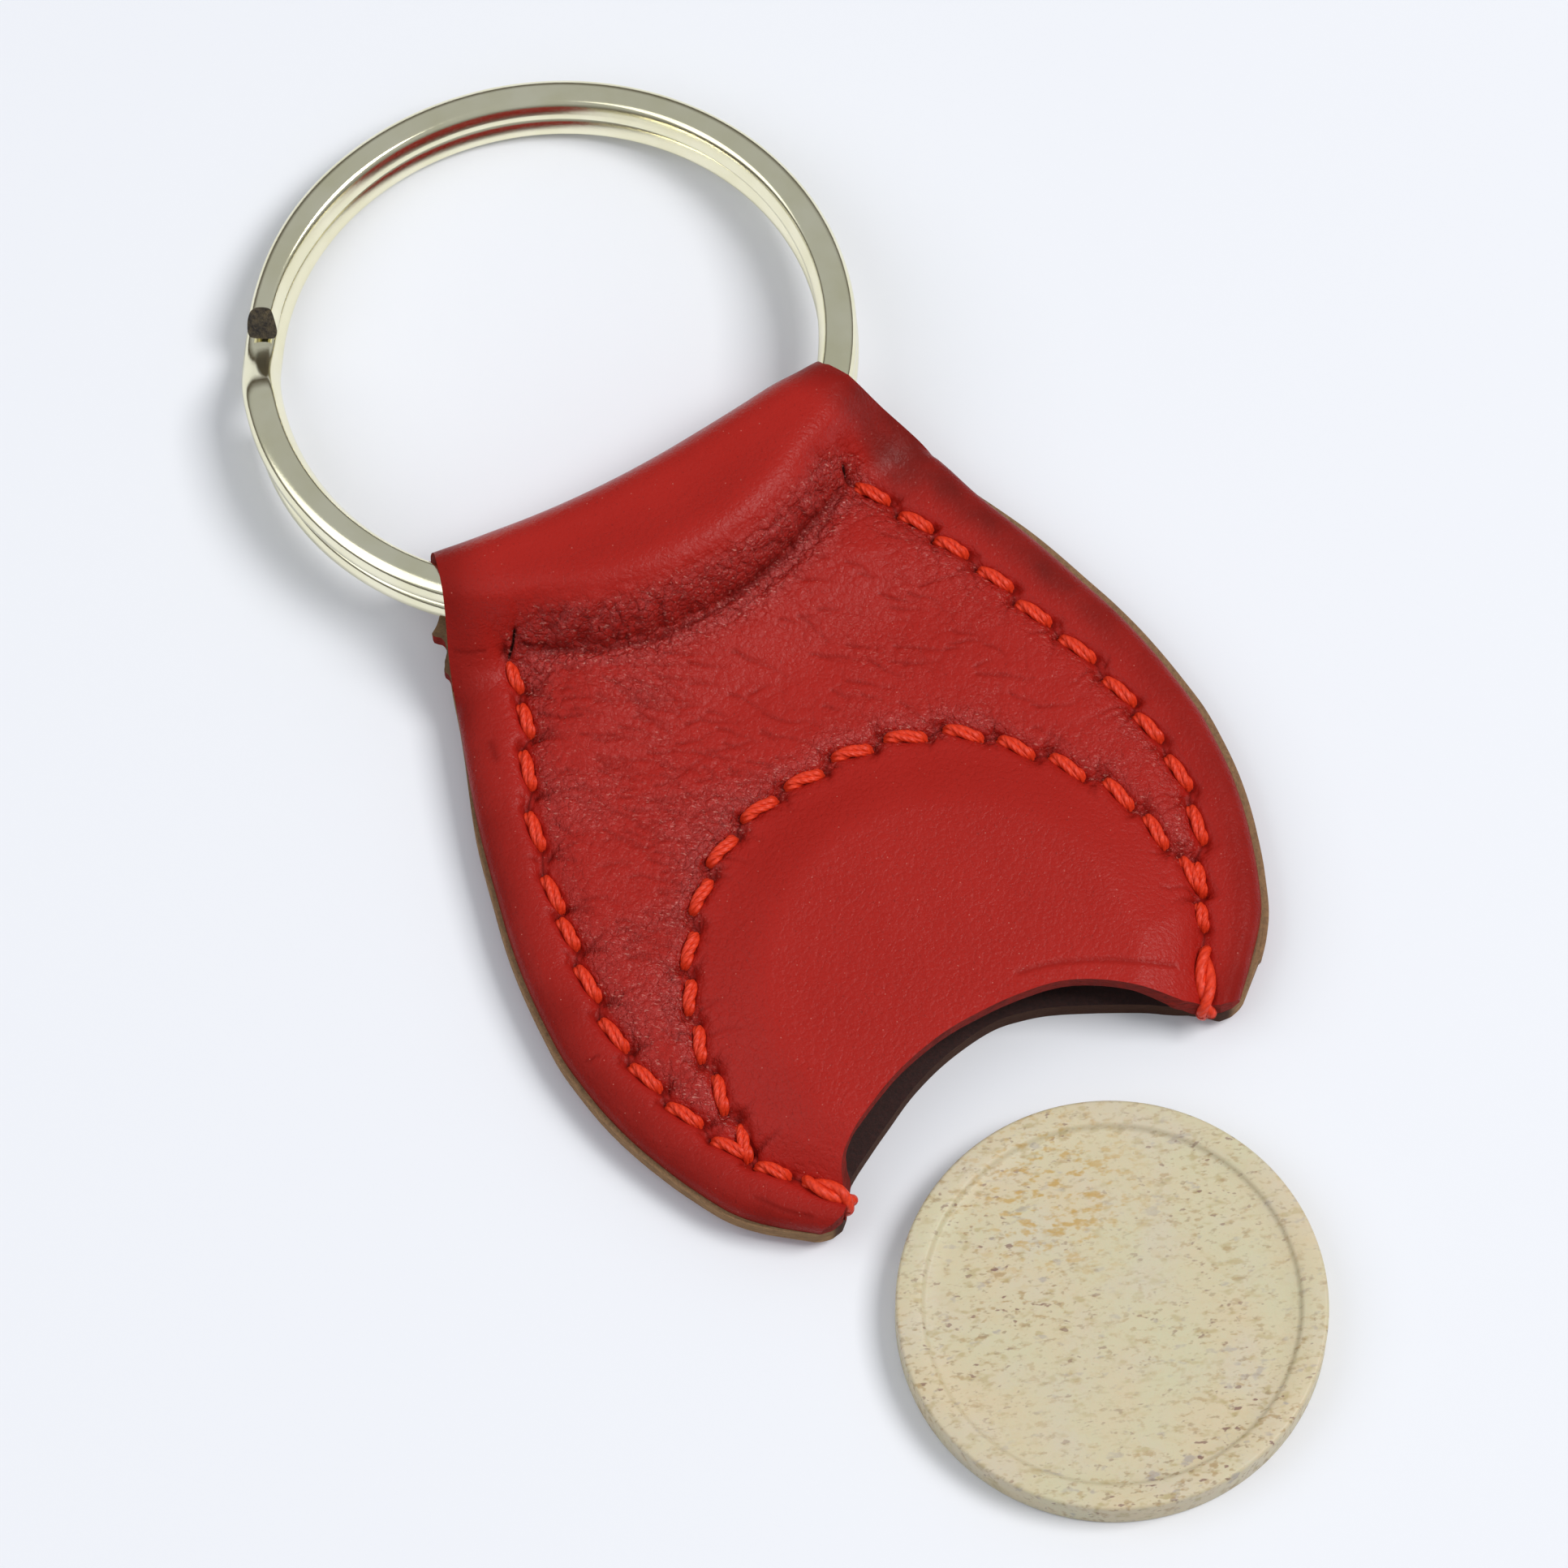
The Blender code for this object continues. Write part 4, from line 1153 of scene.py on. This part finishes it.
def twisted(core, forward, turns, reach, squash, radius, sides, run):
    """Strands twisted round a line of points, one for each row of turns."""
    side = np.array((-forward[1], forward[0], 0.0))
    up = np.array((0.0, 0.0, 1.0))
    parts = []
    for turn in turns:
        swing = side * np.cos(turn)[:, None] * squash[0] + up * np.sin(turn)[:, None] * squash[1]
        points, faces = tube(core + np.reshape(reach, (-1, 1)) * swing, radius, sides)
        parts.append((points, faces, np.repeat(run, sides) + np.tile(np.arange(sides) / sides, len(run))))
    return parts


def stitch_parts(start, end, surface, outward, radius):
    """Three twisted plies over one stitch, turning down into its holes."""
    length = np.linalg.norm(end - start)
    t = np.linspace(0, 1, 24)
    middle = (start + end) / 2
    level = float(surface(*middle))
    dive = np.clip(1 - np.minimum(t, 1 - t) * length / 0.5, 0, 1) ** 2
    z = level + outward * (radius * 0.75 + 0.12 * np.sin(math.pi * t) - 0.75 * dive)
    core = np.concatenate([start + (end - start) * t[:, None], z[:, None]], axis=1)
    plies = (0.4, 0.4 + math.tau / 3, 0.4 + 2 * math.tau / 3)
    turns = [ply + math.tau * STITCH_TWIST * (t - 0.5) for ply in plies]
    reach, thick = radius * (1 - 0.5 * dive), radius * (1 - 0.30 * dive)
    forward = (end - start) / length
    return twisted(core, forward, turns, reach, (0.92, 0.6), thick, 12, t * length * 0.55)


def stitch_row(stitches, surface, outward, radius):
    parts = []
    for start, end in stitches:
        parts += stitch_parts(start, end, surface, outward, radius)
    return parts


def wrap_parts(wrap):
    """The doubled end of a side seam: two strands, twisted, over the notch's end and down it."""
    start, end = wrap
    top = float(flat_height(*start))
    along = np.array((0.0, 0.12, 0.40, 0.75, 1.0, 1.10, 1.04))
    drop = np.array((-0.55, 0.12, 0.36, 0.36, 0.12, -0.45, -1.15))
    points = np.concatenate([start + (end - start) * along[:, None], top + drop[:, None]], axis=1)
    path = smooth_path(points, 50)
    t = np.linspace(0, 1, len(path))
    turns = [ply + math.tau * WRAP_TWIST * t for ply in (0.0, math.pi)]
    forward = (end - start) / np.linalg.norm(end - start)
    return twisted(path, forward, turns, 0.27, (1.0, 0.7), 0.30 - 0.08 * bell(t, 0.12), 14, t * 2.0)


def make_seam(name, stitches, thread, wrap=None):
    """The seam's upper and lower threads; the lower one spans the gaps of the upper."""
    top = stitch_row(stitches, flat_height, 1.0, THREAD_RADIUS)
    if wrap is not None:
        top += wrap_parts(wrap)
    upper = merged(f"{name}_stitches", top, thread)
    gaps = np.stack([stitches[:-1, 1], stitches[1:, 0]], axis=1)
    middle = gaps.mean(axis=1, keepdims=True)
    under = stitch_row(middle + (gaps - middle) * 2.6, back_underside, -1.0, BOBBIN_RADIUS)
    return upper, merged(f"{name}_bobbin", under, thread)


def wire_section():
    """The wire's section: a bevel inside, an upright inner wall, a softly domed top."""
    corners = np.array((
        (1.00, -0.60), (1.00, 0.10), (0.84, 0.66), (0.46, 0.93), (-0.10, 1.00),
        (-0.60, 0.93), (-0.99, -0.28), (-1.00, -0.65), (-0.80, -1.00), (0.80, -1.00),
    )) * (RING_WIDTH / 2, COIL_HEIGHT / 2)
    for cut in (0.20, 0.25):
        ahead = np.roll(corners, -1, axis=0)
        step = (ahead - corners) * cut
        corners = np.stack([corners + step, ahead - step], axis=1).reshape(-1, 2)
    return corners


def make_ring(finish):
    """The flat wire wound twice, with its joggle and its two sheared ends."""
    cut = math.radians(-109.1)
    joggle = math.radians(15.1)
    mouth = math.radians(5.3)
    shear = math.radians(4.3)
    start, end = math.radians(1.0), 2 * math.tau - joggle - mouth
    steps = 350
    turned = np.linspace(start, end, steps)
    section = wire_section()
    sides = len(section)
    half_h = COIL_HEIGHT / 2
    depth = (half_h - section[:, 1]) / COIL_HEIGHT
    along = np.repeat(turned[:, None], sides, axis=1)
    along[-1] += shear * depth
    middle = RING_RADIUS - RING_WIDTH / 2
    level = half_h + (COIL_HEIGHT + COIL_GAP) * smooth((along - (math.tau - joggle)) / joggle)
    angle = cut + along
    to_end = np.minimum(turned - start, end - turned)[:, None]
    out = middle + section[None, :, 0] * (1 - 0.22 * bell(to_end, 0.30))
    wound = [out * np.cos(angle), out * np.sin(angle), level + section[None, :, 1]]
    flat = np.stack(wound, axis=2).reshape(-1, 3)
    faces = tube_faces(steps, sides)
    # The ends are separate fans, so that their dark cut stays off the wire's sides.
    first, last = flat[:sides], flat[-sides:]
    caps = np.concatenate([first, [first.mean(axis=0)], last, [last.mean(axis=0)]])
    at = len(flat)
    for k in range(sides):
        n = (k + 1) % sides
        faces.append((at + sides, at + n, at + k))
        faces.append((at + 2 * sides + 1, at + sides + 1 + k, at + sides + 1 + n))
    verts = np.concatenate([flat, caps])
    c, s = math.cos(RING_PITCH), math.sin(RING_PITCH)
    tilted = np.stack([
        verts[:, 0] * c - verts[:, 2] * s + RING_CENTRE, verts[:, 1],
        verts[:, 0] * s + verts[:, 2] * c + RING_LIFT,
    ], axis=1)
    ring = new_piece("ring_wire", tilted, faces, [finish], PART_SHARP)
    store(ring.data, "stain", np.concatenate([np.zeros(len(flat)), np.ones(len(caps))]))
    return ring


def make_token_disc(finish):
    """The token with its flat rim, small edge rounds and recessed faces."""
    radius = (TOKEN_HIGH[0] - TOKEN_LOW[0]) / 2
    thick = TOKEN_HIGH[2] - TOKEN_LOW[2]
    rim, recess, rounding = 1.45, 0.33, 0.22
    field = radius - rim
    profile = [(field * k / 10, thick - recess) for k in range(10)]
    profile += [(field - 0.26, thick - recess), (field - 0.12, thick - recess + 0.05)]
    profile += [(field - 0.02, thick - 0.16), (field + 0.08, thick - 0.04), (field + 0.20, thick)]
    profile += [(field + rim / 2, thick)]
    for k in range(6):
        a = math.radians(90 - 90 * k / 5)
        side, top = radius - rounding, thick - rounding
        profile.append((side + rounding * math.cos(a), top + rounding * math.sin(a)))
    profile += [(r, thick - z) for r, z in reversed(profile)]
    steps = 192
    angle = np.linspace(0, math.tau, steps, endpoint=False)
    verts = [(0.0, 0.0, profile[0][1])]
    for r, z in profile[1:-1]:
        verts += [(r * math.cos(a), r * math.sin(a), z) for a in angle]
    verts.append((0.0, 0.0, profile[-1][1]))
    last = len(verts) - 1
    faces = []
    rows = len(profile) - 2
    for k in range(steps):
        n = (k + 1) % steps
        faces.append((0, 1 + k, 1 + n))
        for row in range(rows - 1):
            a, b = 1 + row * steps, 1 + (row + 1) * steps
            faces.append((a + k, b + k, b + n, a + n))
        faces.append((1 + (rows - 1) * steps + n, 1 + (rows - 1) * steps + k, last))
    points = np.array(verts) + (TOKEN_MIDDLE[0], TOKEN_MIDDLE[1], TOKEN_LOW[2])
    return new_piece("token_disc", points, faces, [finish], PART_SHARP)


# Stage, lights and camera.
SKY_LOW = (0.15, 0.12, 0.085, 1)
SKY_HIGH = (0.93, 0.96, 1.0, 1)
# Lamps: to the picture's right and up, height and size in metres, energy and colour.
LAMPS = (
    ("key", 0.55, 0.01, 0.84, 0.44, 6.6, (1.0, 0.985, 0.96)),
    ("fill", -0.38, -0.05, 0.42, 0.45, 0.75, (1, 1, 1)),
)


def make_stage():
    half = 2.0
    corners = [(-half, -half, 0), (half, -half, 0), (half, half, 0), (-half, half, 0)]
    mesh = bpy.data.meshes.new("floor")
    mesh.from_pydata(corners, [], [(0, 1, 2, 3)])
    made, _, shader = new_material("paper")
    shader.inputs["Base Color"].default_value = PAPER
    shader.inputs["Roughness"].default_value = 0.9
    shader.inputs["Specular IOR Level"].default_value = 0.1
    mesh.materials.append(made)
    floor = placed("floor", mesh)


def area_light(name, place, size, energy, colour):
    """A square lamp that looks at the frame's origin."""
    data = bpy.data.lights.new(name, "AREA")
    data.shape = "RECTANGLE"
    data.size, data.size_y = size, size
    data.energy = energy
    data.color = colour
    lamp = placed(name, data)
    lamp.location = place
    lamp.rotation_euler = (-Vector(place)).to_track_quat("-Z", "Y").to_euler()


def make_light():
    world = bpy.data.worlds.new("studio")
    world.use_nodes = True
    tree = world.node_tree
    background = tree.nodes["Background"]
    place = node(tree, "ShaderNodeTexCoord")
    split = node(tree, "ShaderNodeSeparateXYZ")
    tree.links.new(place.outputs["Generated"], split.inputs["Vector"])
    sky = ramp(tree, split.outputs["Z"], 0.10, 0.44, SKY_LOW, SKY_HIGH)
    tree.links.new(sky, background.inputs["Color"])
    background.inputs["Strength"].default_value = 0.46
    bpy.context.scene.world = world
    right, up, _ = camera_axes()
    for name, rightwards, upwards, height, size, energy, colour in LAMPS:
        place = rightwards * right + upwards * up
        area_light(name, (place[0], place[1], height), size, energy, colour)


def make_camera():
    _, _, back = camera_axes()
    data = bpy.data.cameras.new("camera")
    data.sensor_width = SENSOR_WIDTH
    data.lens = FOCAL_PIXELS * SENSOR_WIDTH / PHOTO_SIZE
    data.clip_start, data.clip_end = 0.01, 10.0
    camera = placed("camera", data)
    camera.location = to_world(np.array(CAMERA_TARGET) + CAMERA_DISTANCE * back)
    camera.rotation_euler = Vector(back).to_track_quat("Z", "Y").to_euler()
    bpy.context.scene.camera = camera


make_camera()
make_stage()
make_light()

front_leather = leather_grain("front_leather")
back_leather = leather_grain("back_leather", 0.6)
red_edge = cut_edge("front_cut_edge", CUT_RED, CUT_RED_DARK)
tan_edge = cut_edge("back_cut_edge", TAN, TAN_DARK)
inner_suede = suede("suede")
thread = thread_material()

front = make_front_hide([front_leather, inner_suede, red_edge])
back_hide = make_back_hide([back_leather, inner_suede, tan_edge])
left_top, left_under = make_seam("left_seam", LEFT_SEAM, thread, WRAPS[0])
right_top, right_under = make_seam("right_seam", RIGHT_SEAM, thread, WRAPS[1])
arc_top, arc_under = make_seam("pocket_seam", ARC_SEAM, thread)
ring_wire = make_ring(nickel_material())
token_disc = make_token_disc(token_material())

for piece, node_names, slot in (
    (front, ("front_panel", "ring_loop"), "front_leather"),
    (back_hide, ("back_panel",), "back_leather"),
    (left_top, ("left_seam_top",), "thread"),
    (left_under, ("left_seam_under",), "thread"),
    (right_top, ("right_seam_top",), "thread"),
    (right_under, ("right_seam_under",), "thread"),
):
    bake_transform(piece)
    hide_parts(*node_names)
for piece, node_name in ((arc_top, "pocket_seam_top"), (arc_under, "pocket_seam_under")):
    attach(piece, "pouch")
    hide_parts(node_name)
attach(ring_wire, "ring")
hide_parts("split_ring")
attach(token_disc, "coin")
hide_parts("token")

scene = bpy.context.scene
scene.view_settings.view_transform = "Standard"
